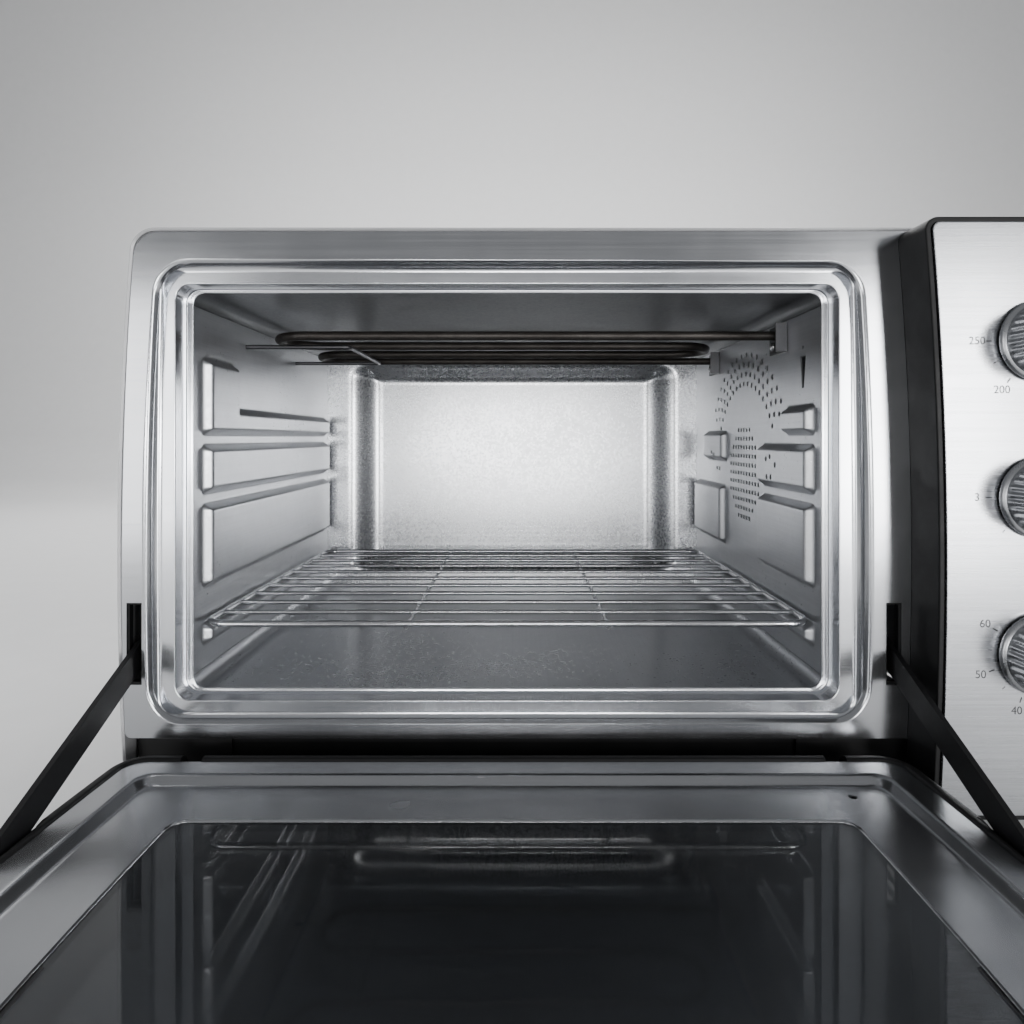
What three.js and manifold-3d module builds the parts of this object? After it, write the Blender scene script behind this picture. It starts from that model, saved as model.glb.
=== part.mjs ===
// Countertop toaster oven with a drop-down door, convection fan and right-hand control fascia.
// Units are millimetres. X runs to the right, Y into the oven and Z up.
// While building, x = 0 is the middle of the cavity, y = 0 the flat of the front frame and
// z = 0 the surface that the feet stand on. The group is moved at the end so that the origin is
// the middle of the object's footprint.
import * as THREE from "three";
import { mergeVertices } from "three/addons/utils/BufferGeometryUtils.js";
import Module from "manifold-3d";

const wasm = await Module();
wasm.setup();

// ---------------------------------------------------------------- driving dimensions
const CLEARANCE = 0.3; // between pieces that touch
const SHEET = 1.0; // pressed steel

// cavity
const CAVITY_WIDTH = 392;
const CAVITY_HEIGHT = 246;
const RAIL_HEIGHT = 37; // top of the rack's rails above the cavity floor
const CAVITY_DEPTH = 300;
const CAVITY_RISE = 83; // cavity floor above the counter
const MOUTH_DEPTH = 22; // from the flat of the frame back to the lip
const LINER_BEND = 9; // bend along the long edges of the ceiling and floor
const BACK_BUMP = 18; // how far the rear wall is pressed outwards

// body
const FOOT_HEIGHT = 25.7;
const BASE_SHEET = 1.5;
const ROOF_GAP = 34.5; // cavity ceiling to the top of the casing
const REAR_SPACE = 52; // cavity to the rear edge of the casing
const CASE_SHEET = 1.0; // outer casing
const CASE_HEM = 2.0; // its doubled front edge
const HEM_DEPTH = 12;
const CASE_CORNER = 15;
const LEFT_MARGIN = 32.3; // cavity to the left side, at the foot of the frame
const RIGHT_MARGIN = 145; // cavity to the right side, likewise
const SIDE_SAG = 5; // barrel bulge of both sides
const SIDE_LEAN = 5.9; // how much narrower each side is at the top of the frame

// front frame
const FRAME_BELOW_CAVITY = 22; // frame's lower edge under the cavity floor
const FRAME_FOOT = 3; // radius of the lower corners
const GROOVE_DEPTH = 8; // first step of the frame
const GROOVE_MARGIN = 19.5; // cavity edge to the outer line of the groove, at the sides
const GROOVE_MARGIN_Z = 14; // the same above and below
const BAND_OUTER = 13.8; // cavity edge to the outer edge of the raised band, at the sides
const BAND_OUTER_Z = 11.8;
const BAND_INNER = 4;
const BAND_INNER_Z = 2.4;

// door
const DOOR_THICKNESS = 26;
const DOOR_OFFSET_X = 4.2; // middle of the door from the middle of the cavity
const DOOR_MARGIN = 34.5; // door past the cavity at each side, at the foot of the frame
const DOOR_BELOW_HINGE = 14.5;
const DOOR_TOP_GAP = 2.5; // below the top of the casing
const DOOR_CORNER = 24;
const HINGE_DROP = 21; // hinge axis below the frame
const HINGE_AHEAD = 19.5; // hinge axis in front of the frame
const DOOR_INNER_FACE = 18; // inner face behind the hinge axis, door closed
const WINDOW_INSET = 66; // door edge to the window opening of the inner panel
const GLASS = 4;
const HANDLE_INSET = 65.5; // end of the bar from the door's edge
const HANDLE_BAR = 8; // depth of the bar
const HANDLE_TALL = 20;
const HANDLE_GAP = 20; // finger room behind the bar

// door stay arms
const ARM_INSET = 6; // arm from the door's edge
const ARM_THICKNESS = 3;
const ARM_WIDTH = 15;
const ARM_LENGTH = 150;
const ARM_REACH = 92.5; // arm pivot from the hinge axis, along the door
const ARM_PIVOT_HEIGHT = 13.4; // arm pivot from the hinge axis, towards the inner face
const ARM_SLOPE = 25.2; // degrees, door open
const SLOT_WIDTH = 6.7;
const SLOT_BOTTOM = 54; // above the hinge axis
const SLOT_TOP = 100;

// control fascia
const FASCIA_GAP = 2; // door's edge to the fascia
const FASCIA_DEPTH = 28;
const KNOB_SHIFT = 3.15; // to the right of the fascia's middle
const KNOB_PITCH = 86;
const KNOB_RADIUS = 21;
const KNOB_LENGTH = 22;
const SHAFT_RADIUS = 3;

// heating elements
const TUBE_RADIUS = 3.3;
const ELEMENT_FIRST = 63; // first run behind the lip
const ELEMENT_LAST = 74.1; // last run in front of the rear wall
const ELEMENT_LEFT = 24; // left turns from the side wall
const ELEMENT_RIGHT = 34; // right turn from the side wall
const ELEMENT_DROP = 17.3; // below the cavity ceiling
const SUPPORT_RADIUS = 1.6;

// convection fan
const FAN_SHIFT = 2; // in front of the middle of the cavity's depth
const FAN_RISE = 3; // above the middle of the cavity
const FAN_RADIUS = 62;
const FAN_HOLE_DROP = 24; // outermost arc of holes below the ceiling, fan centred
const SHROUD_DEPTH = 27;
const HOLE_RADIUS = 2.0;

// rack
const RACK_WIRE = 2.2; // radius of the rim
const RACK_BAR = 1.6; // radius of the cross bars
const RACK_PLAY = 24; // rack shorter than the cavity
const RAIL_PROUD = 6; // how far the pressed rails stand into the cavity

// ---------------------------------------------------------------- derived places
const cavityHalf = CAVITY_WIDTH / 2;
const leftHalf = cavityHalf + LEFT_MARGIN;
const rightHalf = cavityHalf + RIGHT_MARGIN;
const bodyHeight = CAVITY_RISE + CAVITY_HEIGHT + ROOF_GAP;
const bodyDepth = MOUTH_DEPTH + CAVITY_DEPTH + REAR_SPACE;
const cavityZ = CAVITY_RISE + CAVITY_HEIGHT / 2; // middle of the cavity
const cavityTop = cavityZ + CAVITY_HEIGHT / 2;
const lipY = MOUTH_DEPTH;
const linerY0 = lipY + SHEET + CLEARANCE;
const backY = lipY + CAVITY_DEPTH;
const frameBottom = CAVITY_RISE - FRAME_BELOW_CAVITY;
const frameTop = bodyHeight - CASE_HEM - CLEARANCE;
const baseZ0 = FOOT_HEIGHT + CLEARANCE;
const baseZ1 = baseZ0 + BASE_SHEET;
const caseZ0 = baseZ1 + CLEARANCE;
const hingeY = -HINGE_AHEAD;
const hingeZ = frameBottom - HINGE_DROP;
const doorHalf = cavityHalf + DOOR_MARGIN;
const doorTop = bodyHeight - DOOR_TOP_GAP - hingeZ; // above the hinge axis, door closed
const doorOuterFace = DOOR_INNER_FACE - DOOR_THICKNESS;
const elementZ = cavityTop - ELEMENT_DROP;
const elementPitch = (CAVITY_DEPTH - ELEMENT_FIRST - ELEMENT_LAST) / 3;
const fanBehindLip = CAVITY_DEPTH / 2 - FAN_SHIFT;
const fanY = lipY + fanBehindLip;
const fanZ = cavityZ + FAN_RISE;
const fanReach = CAVITY_HEIGHT / 2 - FAN_HOLE_DROP;
const fasciaLeft = DOOR_OFFSET_X + doorHalf + FASCIA_GAP;
const knobX = (fasciaLeft + rightHalf) / 2 + KNOB_SHIFT;
const knobHeights = [cavityZ + KNOB_PITCH, cavityZ, cavityZ - KNOB_PITCH];
const armOffset = doorHalf - ARM_INSET;
const armLeftX = DOOR_OFFSET_X - armOffset;
const armRightX = DOOR_OFFSET_X + armOffset;

// Outward curve of the body's sides at a height above the counter.
function flare(z) {
  const middle = (frameBottom + frameTop) / 2;
  const t = (z - middle) / ((frameTop - frameBottom) / 2);
  return SIDE_SAG * (1 - t * t) - (SIDE_LEAN * (t + 1)) / 2;
}

// ---------------------------------------------------------------- materials
function finish(color, roughness, metalness, extra = {}) {
  return new THREE.MeshStandardMaterial({ color, roughness, metalness, ...extra });
}
const brushedSteel = finish(0xb9bcc2, 0.32, 1.0);
const linerSteel = finish(0xa4a7ad, 0.38, 0.9);
const casingPaint = finish(0xc4c5c8, 0.45, 0.4);
const galvanised = finish(0x9a9da2, 0.5, 0.9);
const chrome = finish(0xe2e3e6, 0.12, 1.0);
const sheath = finish(0x3b3a38, 0.5, 0.7);
const blackPlastic = finish(0x1b1c1e, 0.45, 0.0);
const blackSteel = finish(0x151618, 0.5, 0.3);
const darkGlass = finish(0x1a1c20, 0.05, 0.0, { transparent: true, opacity: 0.5 });
const rubber = finish(0x202022, 0.8, 0.0);
const amber = finish(0xd8731a, 0.25, 0.0);
const aluminium = finish(0xc9cbce, 0.35, 0.9);

// ---------------------------------------------------------------- solids
function toSolid(geometry) {
  const bare = geometry.clone();
  bare.deleteAttribute("normal");
  bare.deleteAttribute("uv");
  const merged = mergeVertices(bare, 1e-4);
  const vertProperties = new Float32Array(merged.attributes.position.array);
  const triVerts = new Uint32Array(merged.index.array);
  return new wasm.Manifold(new wasm.Mesh({ numProp: 3, vertProperties, triVerts }));
}

function toGeometry(solid) {
  const mesh = solid.getMesh();
  const geometry = new THREE.BufferGeometry();
  geometry.setAttribute("position", new THREE.BufferAttribute(new Float32Array(mesh.vertProperties), 3));
  geometry.setIndex(new THREE.BufferAttribute(new Uint32Array(mesh.triVerts), 1));
  geometry.computeVertexNormals();
  return geometry;
}

const join = (...geometries) => toGeometry(wasm.Manifold.union(geometries.map(toSolid)));
const cut = (geometry, ...tools) =>
  toGeometry(toSolid(geometry).subtract(wasm.Manifold.union(tools.map(toSolid))));

function box([x0, x1], [y0, y1], [z0, z1]) {
  const geometry = new THREE.BoxGeometry(x1 - x0, y1 - y0, z1 - z0);
  return geometry.translate((x0 + x1) / 2, (y0 + y1) / 2, (z0 + z1) / 2);
}

// A round bar between two points.
function rod(from, to, radius, sides = 12, endRadius = radius) {
  const a = new THREE.Vector3(...from);
  const b = new THREE.Vector3(...to);
  const along = b.clone().sub(a);
  const geometry = new THREE.CylinderGeometry(endRadius, radius, along.length(), sides);
  const turn = new THREE.Quaternion().setFromUnitVectors(new THREE.Vector3(0, 1, 0), along.normalize());
  geometry.applyQuaternion(turn);
  const middle = a.add(b).multiplyScalar(0.5);
  return geometry.translate(middle.x, middle.y, middle.z);
}

// An outline in X and Z, extruded along Y.
function slab(points, [y0, y1], holes = []) {
  const shape = new THREE.Shape(points.map(([x, z]) => new THREE.Vector2(x, z)));
  for (const hole of holes) {
    shape.holes.push(new THREE.Path(hole.map(([x, z]) => new THREE.Vector2(x, z))));
  }
  const geometry = new THREE.ExtrudeGeometry(shape, { depth: y1 - y0, bevelEnabled: false });
  return geometry.rotateX(Math.PI / 2).translate(0, y1, 0);
}

// An outline in Y and Z, extruded along X.
function sidePlate(points, [x0, x1]) {
  const shape = new THREE.Shape(points.map(([y, z]) => new THREE.Vector2(y, z)));
  const geometry = new THREE.ExtrudeGeometry(shape, { depth: x1 - x0, bevelEnabled: false });
  const turn = new THREE.Matrix4().makeBasis(
    new THREE.Vector3(0, 1, 0),
    new THREE.Vector3(0, 0, 1),
    new THREE.Vector3(1, 0, 0),
  );
  return geometry.applyMatrix4(turn).translate(x0, 0, 0);
}

// A round tube along a path of straight and curved stretches.
function tube(path, radius, sides = 8, steps = 80) {
  const section = new THREE.Shape();
  section.absarc(0, 0, radius, 0, Math.PI * 2);
  const settings = { steps, bevelEnabled: false, extrudePath: path, curveSegments: sides / 2 };
  return new THREE.ExtrudeGeometry(section, settings);
}

// A rectangle with round corners whose upright sides follow the body's barrel curve by a share.
// Its lower corners can have a radius of their own.
function ring(shape, y, arc = 5, side = 6) {
  const { left, right, bottom, top, radius, low = radius, curve = 0, fall = 0 } = shape;
  const points = [];
  const bend = (x, z, sign) => x + sign * curve * flare(z - fall);
  const corner = (cx, cz, start, sign, r = radius) => {
    for (let i = 0; i <= arc; i++) {
      const angle = start + (i / arc) * (Math.PI / 2);
      const z = cz + r * Math.sin(angle);
      points.push(new THREE.Vector3(bend(cx + r * Math.cos(angle), z, sign), y, z));
    }
  };
  const upright = (x, z0, z1, sign) => {
    for (let i = 1; i < side; i++) {
      const z = z0 + ((z1 - z0) * i) / side;
      points.push(new THREE.Vector3(bend(x, z, sign), y, z));
    }
  };
  corner(right - low, bottom + low, -Math.PI / 2, 1, low);
  upright(right, bottom + low, top - radius, 1);
  corner(right - radius, top - radius, 0, 1);
  corner(left + radius, top - radius, Math.PI / 2, -1);
  upright(left, top - radius, bottom + low, -1);
  corner(left + low, bottom + low, Math.PI, -1, low);
  return points;
}

// Skins a series of rings that closes on itself, like a picture frame.
function skin(rings) {
  const count = rings[0].length;
  const position = rings.flat().flatMap((p) => [p.x, p.y, p.z]);
  const index = [];
  for (let i = 0; i < rings.length; i++) {
    const next = (i + 1) % rings.length;
    for (let j = 0; j < count; j++) {
      const k = (j + 1) % count;
      index.push(i * count + j, i * count + k, next * count + k);
      index.push(i * count + j, next * count + k, next * count + j);
    }
  }
  const geometry = new THREE.BufferGeometry();
  geometry.setAttribute("position", new THREE.BufferAttribute(new Float32Array(position), 3));
  geometry.setIndex(index);
  if (signedVolume(geometry) < 0) {
    geometry.index.array.reverse();
  }
  geometry.computeVertexNormals();
  return geometry;
}

function signedVolume(geometry) {
  const place = geometry.attributes.position;
  const order = geometry.index.array;
  const [a, b, c] = [new THREE.Vector3(), new THREE.Vector3(), new THREE.Vector3()];
  let volume = 0;
  for (let i = 0; i < order.length; i += 3) {
    a.fromBufferAttribute(place, order[i]);
    b.fromBufferAttribute(place, order[i + 1]);
    c.fromBufferAttribute(place, order[i + 2]);
    volume += a.dot(b.cross(c)) / 6;
  }
  return volume;
}

const outline = (points) => points.map((p) => [p.x, p.z]);

// ---------------------------------------------------------------- assembly
const oven = new THREE.Group();

function add(parent, name, geometry, material) {
  const mesh = new THREE.Mesh(geometry, material);
  mesh.name = name;
  parent.add(mesh);
  return mesh;
}

// ---------------------------------------------------------------- outer casing
// The casing wraps the top and both sides: an arch whose foot is open.
function archOutline(inset) {
  const top = bodyHeight - inset;
  const radius = CASE_CORNER - inset;
  const steps = 10;
  const rise = top - radius - caseZ0;
  const points = [];
  for (let i = 0; i <= steps; i++) {
    const z = caseZ0 + (rise * i) / steps;
    points.push([-(leftHalf - inset) - flare(z), z]);
  }
  const cornerLeft = points[points.length - 1][0] + radius;
  for (let i = 1; i <= 6; i++) {
    const angle = Math.PI - (i / 6) * (Math.PI / 2);
    points.push([cornerLeft + radius * Math.cos(angle), top - radius + radius * Math.sin(angle)]);
  }
  const cornerRight = rightHalf - inset + flare(top - radius) - radius;
  for (let i = 0; i <= 6; i++) {
    const angle = Math.PI / 2 - (i / 6) * (Math.PI / 2);
    points.push([cornerRight + radius * Math.cos(angle), top - radius + radius * Math.sin(angle)]);
  }
  for (let i = steps - 1; i >= 0; i--) {
    const z = caseZ0 + (rise * i) / steps;
    points.push([rightHalf - inset + flare(z), z]);
  }
  return points;
}

function buildCasing() {
  const arch = (wall, y) => slab([...archOutline(0), ...archOutline(wall).reverse()], y);
  const shell = join(arch(CASE_SHEET, [0, bodyDepth]), arch(CASE_HEM, [0, HEM_DEPTH]));
  const louvres = [];
  const reach = rightHalf + SIDE_SAG + CASE_HEM;
  const louvreY = [bodyDepth - 174, bodyDepth - 44];
  for (let i = 0; i < 9; i++) {
    const z = cavityZ + 20 + i * 12;
    louvres.push(box([rightHalf - 2 * SIDE_LEAN, reach], louvreY, [z, z + 4]));
    louvres.push(box([-reach, 2 * SIDE_LEAN - leftHalf], louvreY, [z, z + 4]));
  }
  return cut(shell, ...louvres);
}
add(oven, "outer_casing", buildCasing(), casingPaint);

const innerSide = CASE_HEM + CLEARANCE;
const rearInset = CASE_SHEET + CLEARANCE;

function buildBase() {
  const left = -(leftHalf - innerSide) - flare(caseZ0) + 1;
  const right = rightHalf - innerSide + flare(caseZ0) - 1;
  const plate = box([left, right], [10 + SHEET + CLEARANCE, bodyDepth - 2], [baseZ0, baseZ1]);
  const slots = [];
  for (let i = 0; i < 7; i++) {
    slots.push(box([-150 + i * 48, -130 + i * 48], [150, 230], [baseZ0 - 1, baseZ1 + 1]));
  }
  return cut(plate, ...slots);
}
add(oven, "base_pan", buildBase(), galvanised);

// The rear panel closes the casing from inside, flush with its rear edge.
const rearY0 = bodyDepth - 2 - SHEET;
const rearY1 = bodyDepth - 2;
const glandX = rightHalf - 60;
const glandZ = baseZ1 + 40;
const glandRadius = 9;

function buildRearPanel() {
  const plate = slab(archOutline(rearInset).map(([x, z]) => [x, Math.max(z, caseZ0)]), [rearY0, rearY1]);
  const vents = [];
  for (let i = 0; i < 10; i++) {
    const z = cavityZ + 30 + i * 9;
    vents.push(box([rightHalf - 95, rightHalf - 35], [rearY0 - 1, rearY1 + 1], [z, z + 3.5]));
  }
  const cordHole = rod([glandX, rearY0 - 1, glandZ], [glandX, rearY1 + 1, glandZ], glandRadius, 20);
  return cut(plate, cordHole, ...vents);
}
add(oven, "rear_panel", buildRearPanel(), galvanised);

function buildGland() {
  const r = glandRadius - CLEARANCE;
  const profile = [
    [4, rearY0 - 6],
    [r, rearY0 - 6],
    [r, rearY1 + CLEARANCE],
    [r + 4, rearY1 + CLEARANCE],
    [r + 4, rearY1 + 4],
    [r, rearY1 + 8],
    [4, rearY1 + 8],
    [4, rearY0 - 6],
  ];
  const lathe = new THREE.LatheGeometry(profile.map(([x, y]) => new THREE.Vector2(x, y)), 20);
  return lathe.translate(glandX, 0, glandZ);
}
add(oven, "cable_gland", buildGland(), blackPlastic);

// ---------------------------------------------------------------- front frame
const grooveOuter = {
  left: -cavityHalf - GROOVE_MARGIN + 4,
  right: cavityHalf + GROOVE_MARGIN - 2.6,
  bottom: CAVITY_RISE - GROOVE_MARGIN_Z + 1,
  top: cavityTop + GROOVE_MARGIN_Z + 0.3,
  radius: 21,
  curve: 0.9,
};
const mouth = {
  left: -cavityHalf,
  right: cavityHalf,
  bottom: CAVITY_RISE,
  top: cavityTop,
  radius: 7.5,
};

// Grows or shrinks a ring description evenly.
function grow(frame, dx, dz = dx, radius = frame.radius + (dx + dz) / 2) {
  return {
    ...frame,
    left: frame.left - dx,
    right: frame.right + dx,
    bottom: frame.bottom - dz,
    top: frame.top + dz,
    radius,
  };
}

const frameEdge = {
  left: -(leftHalf - innerSide),
  right: rightHalf - innerSide,
  bottom: frameBottom,
  top: frameTop,
  radius: CASE_CORNER - innerSide,
  low: FRAME_FOOT,
  curve: 1,
};

function slotTool(x, width, y0, y1, margin = 0) {
  const z = [hingeZ + SLOT_BOTTOM - margin, hingeZ + SLOT_TOP + margin];
  return box([x - width / 2, x + width / 2], [y0, y1], z);
}

function buildFrame() {
  const bandOuter = grow(mouth, BAND_OUTER, BAND_OUTER_Z, 12);
  const bandInner = grow(mouth, BAND_INNER, BAND_INNER_Z, 9.5);
  const t = SHEET;
  const front = [
    ring(frameEdge, 10),
    ring(frameEdge, 0.9),
    ring(grow(frameEdge, -0.9), 0),
    ring(grooveOuter, 0),
    ring(grow(grooveOuter, -1), 0.8),
    ring({ ...bandOuter, curve: 0.3 }, GROOVE_DEPTH - 0.8),
    ring({ ...grow(bandOuter, -0.9), curve: 0.3 }, GROOVE_DEPTH),
    ring(bandInner, GROOVE_DEPTH),
    ring(grow(bandInner, -0.3), GROOVE_DEPTH + 1),
    ring(grow(bandInner, -0.3), lipY - 0.6),
    ring(grow(mouth, 3.2, 1.8), lipY),
    ring(mouth, lipY),
  ];
  const back = [
    ring(mouth, lipY + t),
    ring(grow(mouth, 3.4, 2), lipY + t),
    ring(grow(bandInner, 0.7), lipY + t - 0.5),
    ring(grow(bandInner, 0.7), GROOVE_DEPTH + 2),
    ring(grow(bandInner, 1.2), GROOVE_DEPTH + t),
    ring({ ...grow(bandOuter, -0.3), curve: 0.3 }, GROOVE_DEPTH + t),
    ring({ ...grow(bandOuter, 0.9), curve: 0.3 }, GROOVE_DEPTH),
    ring(grow(grooveOuter, 0.2), 1.6),
    ring(grow(grooveOuter, 1), t),
    ring(grow(frameEdge, -1.9), t),
    ring(grow(frameEdge, -t), 1.9),
    ring(grow(frameEdge, -t), 10),
  ];
  const stem = SHAFT_RADIUS + 3;
  const stems = knobHeights.map((z) => rod([knobX, -2, z], [knobX, 3, z], stem, 16));
  return cut(
    skin([...front, ...back]),
    slotTool(armLeftX, SLOT_WIDTH + 2.4, -2, 4, 1.2),
    slotTool(armRightX, SLOT_WIDTH + 2.4, -2, 4, 1.2),
    ...stems,
  );
}
add(oven, "front_frame", buildFrame(), brushedSteel);

// A recessed strip closes the front under the frame, behind the door's lower edge.
const plinthY = [10, 10 + SHEET];
const plinthTop = frameBottom - CLEARANCE;
const hingeX = doorHalf - 48.5;
function buildPlinth() {
  const left = -(leftHalf - innerSide) - flare(caseZ0) + 1;
  const right = rightHalf - innerSide + flare(caseZ0) - 1;
  return box([left, right], plinthY, [baseZ0, plinthTop]);
}
add(oven, "lower_plinth", buildPlinth(), blackSteel);

// ---------------------------------------------------------------- cavity liner
const linerY = [linerY0, backY - CLEARANCE];

// Ceiling and floor are one sheet each, bent down or up along both long edges.
function linerSheet(sign) {
  const z0 = cavityZ + sign * (CAVITY_HEIGHT / 2 + 0.5);
  const bend = (inset) => {
    const r = LINER_BEND - inset;
    const half = cavityHalf - inset + SHEET;
    const z = z0 + sign * (SHEET - inset);
    const points = [];
    for (let side = -1; side <= 1; side += 2) {
      for (let i = 0; i <= 5; i++) {
        const step = side < 0 ? i : 5 - i;
        const angle = (step / 5) * (Math.PI / 2);
        const x = side * (half - r + r * Math.cos(angle));
        points.push([x, z - sign * (r - r * Math.sin(angle))]);
      }
    }
    return points;
  };
  return slab([...bend(0), ...bend(SHEET).reverse()], linerY);
}
add(oven, "cavity_ceiling", linerSheet(1), linerSteel);
add(oven, "cavity_floor", linerSheet(-1), linerSteel);

// A pressed boss: a block with sloping sides that stands proud of a side wall.
function boss(side, [s0, s1], [z0, z1], inset, reach) {
  const wall = side * cavityHalf;
  const tip = side * (cavityHalf - reach);
  const run = Math.min(RAIL_PROUD - 0.6, (z1 - z0) / 2 - 1.2);
  const foot = [lipY + s0 + inset, lipY + s1 - inset, cavityZ + z0 + inset, cavityZ + z1 - inset];
  const head = [foot[0] + run, foot[1] - run, foot[2] + run, foot[3] - run];
  const loop = ([y0, y1, za, zb], x) => [
    new THREE.Vector3(x, y0, za),
    new THREE.Vector3(x, y1, za),
    new THREE.Vector3(x, y1, zb),
    new THREE.Vector3(x, y0, zb),
  ];
  return frustum(loop(foot, wall + side * inset), loop(head, tip + side * inset));
}

// A solid between two four-cornered faces.
function frustum(lower, upper) {
  const position = [...lower, ...upper].flatMap((p) => [p.x, p.y, p.z]);
  const index = [0, 2, 1, 0, 3, 2, 4, 5, 6, 4, 6, 7];
  for (let i = 0; i < 4; i++) {
    const j = (i + 1) % 4;
    index.push(i, j, 4 + j, i, 4 + j, 4 + i);
  }
  const geometry = new THREE.BufferGeometry();
  geometry.setAttribute("position", new THREE.BufferAttribute(new Float32Array(position), 3));
  geometry.setIndex(index);
  if (signedVolume(geometry) < 0) {
    geometry.index.array.reverse();
  }
  return geometry;
}

const railEnd = CAVITY_DEPTH - 9;
const fromFloor = (z0, z1) => [z0 - CAVITY_HEIGHT / 2, z1 - CAVITY_HEIGHT / 2];
const fromCeiling = (z0, z1) => [CAVITY_HEIGHT / 2 - z0, CAVITY_HEIGHT / 2 - z1];
const railTop = fromFloor(0, RAIL_HEIGHT)[1];
// Each boss: its stretch behind the lip, and its heights from the cavity's floor or ceiling.
const leftBosses = [
  [[11, 62], fromCeiling(89, 38)],
  [[11, railEnd], fromCeiling(89, 69)],
  [[11, railEnd], fromFloor(119, 152)],
  [[11, railEnd], fromFloor(59, 114)],
  [[11, railEnd], fromFloor(22, RAIL_HEIGHT)],
];
const beforeFan = fanBehindLip - 44;
const afterFan = fanBehindLip + 44;
const rightBosses = [
  [[9, 57], fromCeiling(89, 68)],
  [[9, beforeFan], fromFloor(119, 152)],
  [[afterFan, afterFan + 66], fromFloor(134, 163)],
  [[9, beforeFan], fromFloor(59, 114)],
  [[afterFan + 4, railEnd], fromFloor(59, 114)],
  [[9, railEnd], fromFloor(22, RAIL_HEIGHT)],
];

function sideWall(side, bosses, holes) {
  const edge = CAVITY_HEIGHT / 2 + 0.5 - LINER_BEND + SHEET - CLEARANCE;
  const x = [side * cavityHalf, side * (cavityHalf + SHEET)].sort((a, b) => a - b);
  const plate = box(x, linerY, [cavityZ - edge, cavityZ + edge]);
  const proud = bosses.map(([s, z]) => boss(side, s, z, 0, RAIL_PROUD));
  const hollow = bosses.map(([s, z]) => boss(side, s, z, SHEET + 0.05, RAIL_PROUD));
  return cut(join(plate, ...proud), ...hollow, ...holes);
}

// Fan outlet holes lie on arcs over the intake grid, and in pairs beside it.
function fanHoles() {
  const places = [];
  [24, 16, 8, 0].forEach((inside, row) => {
    const radius = fanReach - inside;
    const count = 17 - (row % 2);
    for (let i = 0; i < count; i++) {
      const angle = THREE.MathUtils.degToRad(31 + ((i + (row % 2) / 2) * 118) / 16);
      places.push([radius * Math.cos(angle), radius * Math.sin(angle)]);
    }
  });
  const rows = [5, 7, 9, 11, 11, 11, 11, 11, 9, 7, 5];
  rows.forEach((count, row) => {
    for (let i = 0; i < count; i++) {
      places.push([(i - (count - 1) / 2) * 6.9, (row - 5) * 7.3]);
    }
  });
  for (const side of [-1, 1]) {
    for (const [radius, degrees] of [[69, 1], [77, 1], [69, 12], [77, 12], [86, 7]]) {
      const angle = THREE.MathUtils.degToRad(degrees);
      places.push([side * radius * Math.cos(angle), radius * Math.sin(angle)]);
    }
  }
  const x0 = cavityHalf - RAIL_PROUD - 2;
  return places.map(([dy, dz]) =>
    rod([x0, fanY + dy, fanZ + dz], [cavityHalf + 3, fanY + dy, fanZ + dz], HOLE_RADIUS, 4),
  );
}

// A wedge-shaped peg slot near the mouth, with a small hole over it.
function pegSlot() {
  const y = lipY + 28.5;
  const z = cavityTop - 57;
  const wedge = [[y - 1.4, z], [y + 1.4, z], [y + 4.5, z + 21], [y - 4.5, z + 21]];
  const x = [cavityHalf - 2, cavityHalf + 3];
  return [sidePlate(wedge, x), rod([x[0], y, z + 27], [x[1], y, z + 27], 1.2, 8)];
}

const elementRows = [0, 1, 2, 3].map((i) => lipY + ELEMENT_FIRST + i * elementPitch);
function wireHoles(side, rows, z, radius) {
  const x = [side * (cavityHalf - 2), side * (cavityHalf + 3)];
  return rows.map((y) => rod([x[0], y, z], [x[1], y, z], radius, 12));
}
const supportZ = elementZ - TUBE_RADIUS - SUPPORT_RADIUS - CLEARANCE;
const supportRows = [elementRows[0] + 21, elementRows[3] - 28.9];
const elementEnds = [elementRows[0], elementRows[3]];

const leftHoles = wireHoles(-1, supportRows, supportZ, SUPPORT_RADIUS + CLEARANCE);
const rightHoles = [
  ...fanHoles(),
  ...pegSlot(),
  ...wireHoles(1, elementEnds, elementZ, TUBE_RADIUS + CLEARANCE),
];
add(oven, "cavity_left_wall", sideWall(-1, leftBosses, leftHoles), linerSteel);
add(oven, "cavity_right_wall", sideWall(1, rightBosses, rightHoles), linerSteel);

// The rear wall is pressed outwards in a wide rounded rectangle.
function buildBackWall() {
  const y = backY;
  const half = cavityHalf + SHEET;
  const edge = CAVITY_HEIGHT / 2 + 0.5 + SHEET;
  const plate = box([-half, half], [y, y + SHEET], [cavityZ - edge, cavityZ + edge]);
  const middle = { left: -cavityHalf, right: cavityHalf, bottom: CAVITY_RISE, top: cavityTop };
  const inside = (left, right, bottom, top, radius) => ({
    left: middle.left + left,
    right: middle.right - right,
    bottom: middle.bottom + bottom,
    top: middle.top - top,
    radius,
  });
  const outer = inside(22, 20, 13, 10, 20);
  const inner = inside(54, 53, 33, 30, 14);
  const solidRing = (a, b, y0, y1) => {
    const pair = [ring(a, y0, 5, 1), ring(b, y1, 5, 1)];
    return capped(pair);
  };
  const bump = solidRing(outer, inner, y + SHEET - 0.01, y + BACK_BUMP + SHEET);
  const hollow = solidRing(grow(outer, -0.6), grow(inner, -0.6), y - 0.01, y + BACK_BUMP);
  return cut(join(plate, bump), hollow);
}

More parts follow.
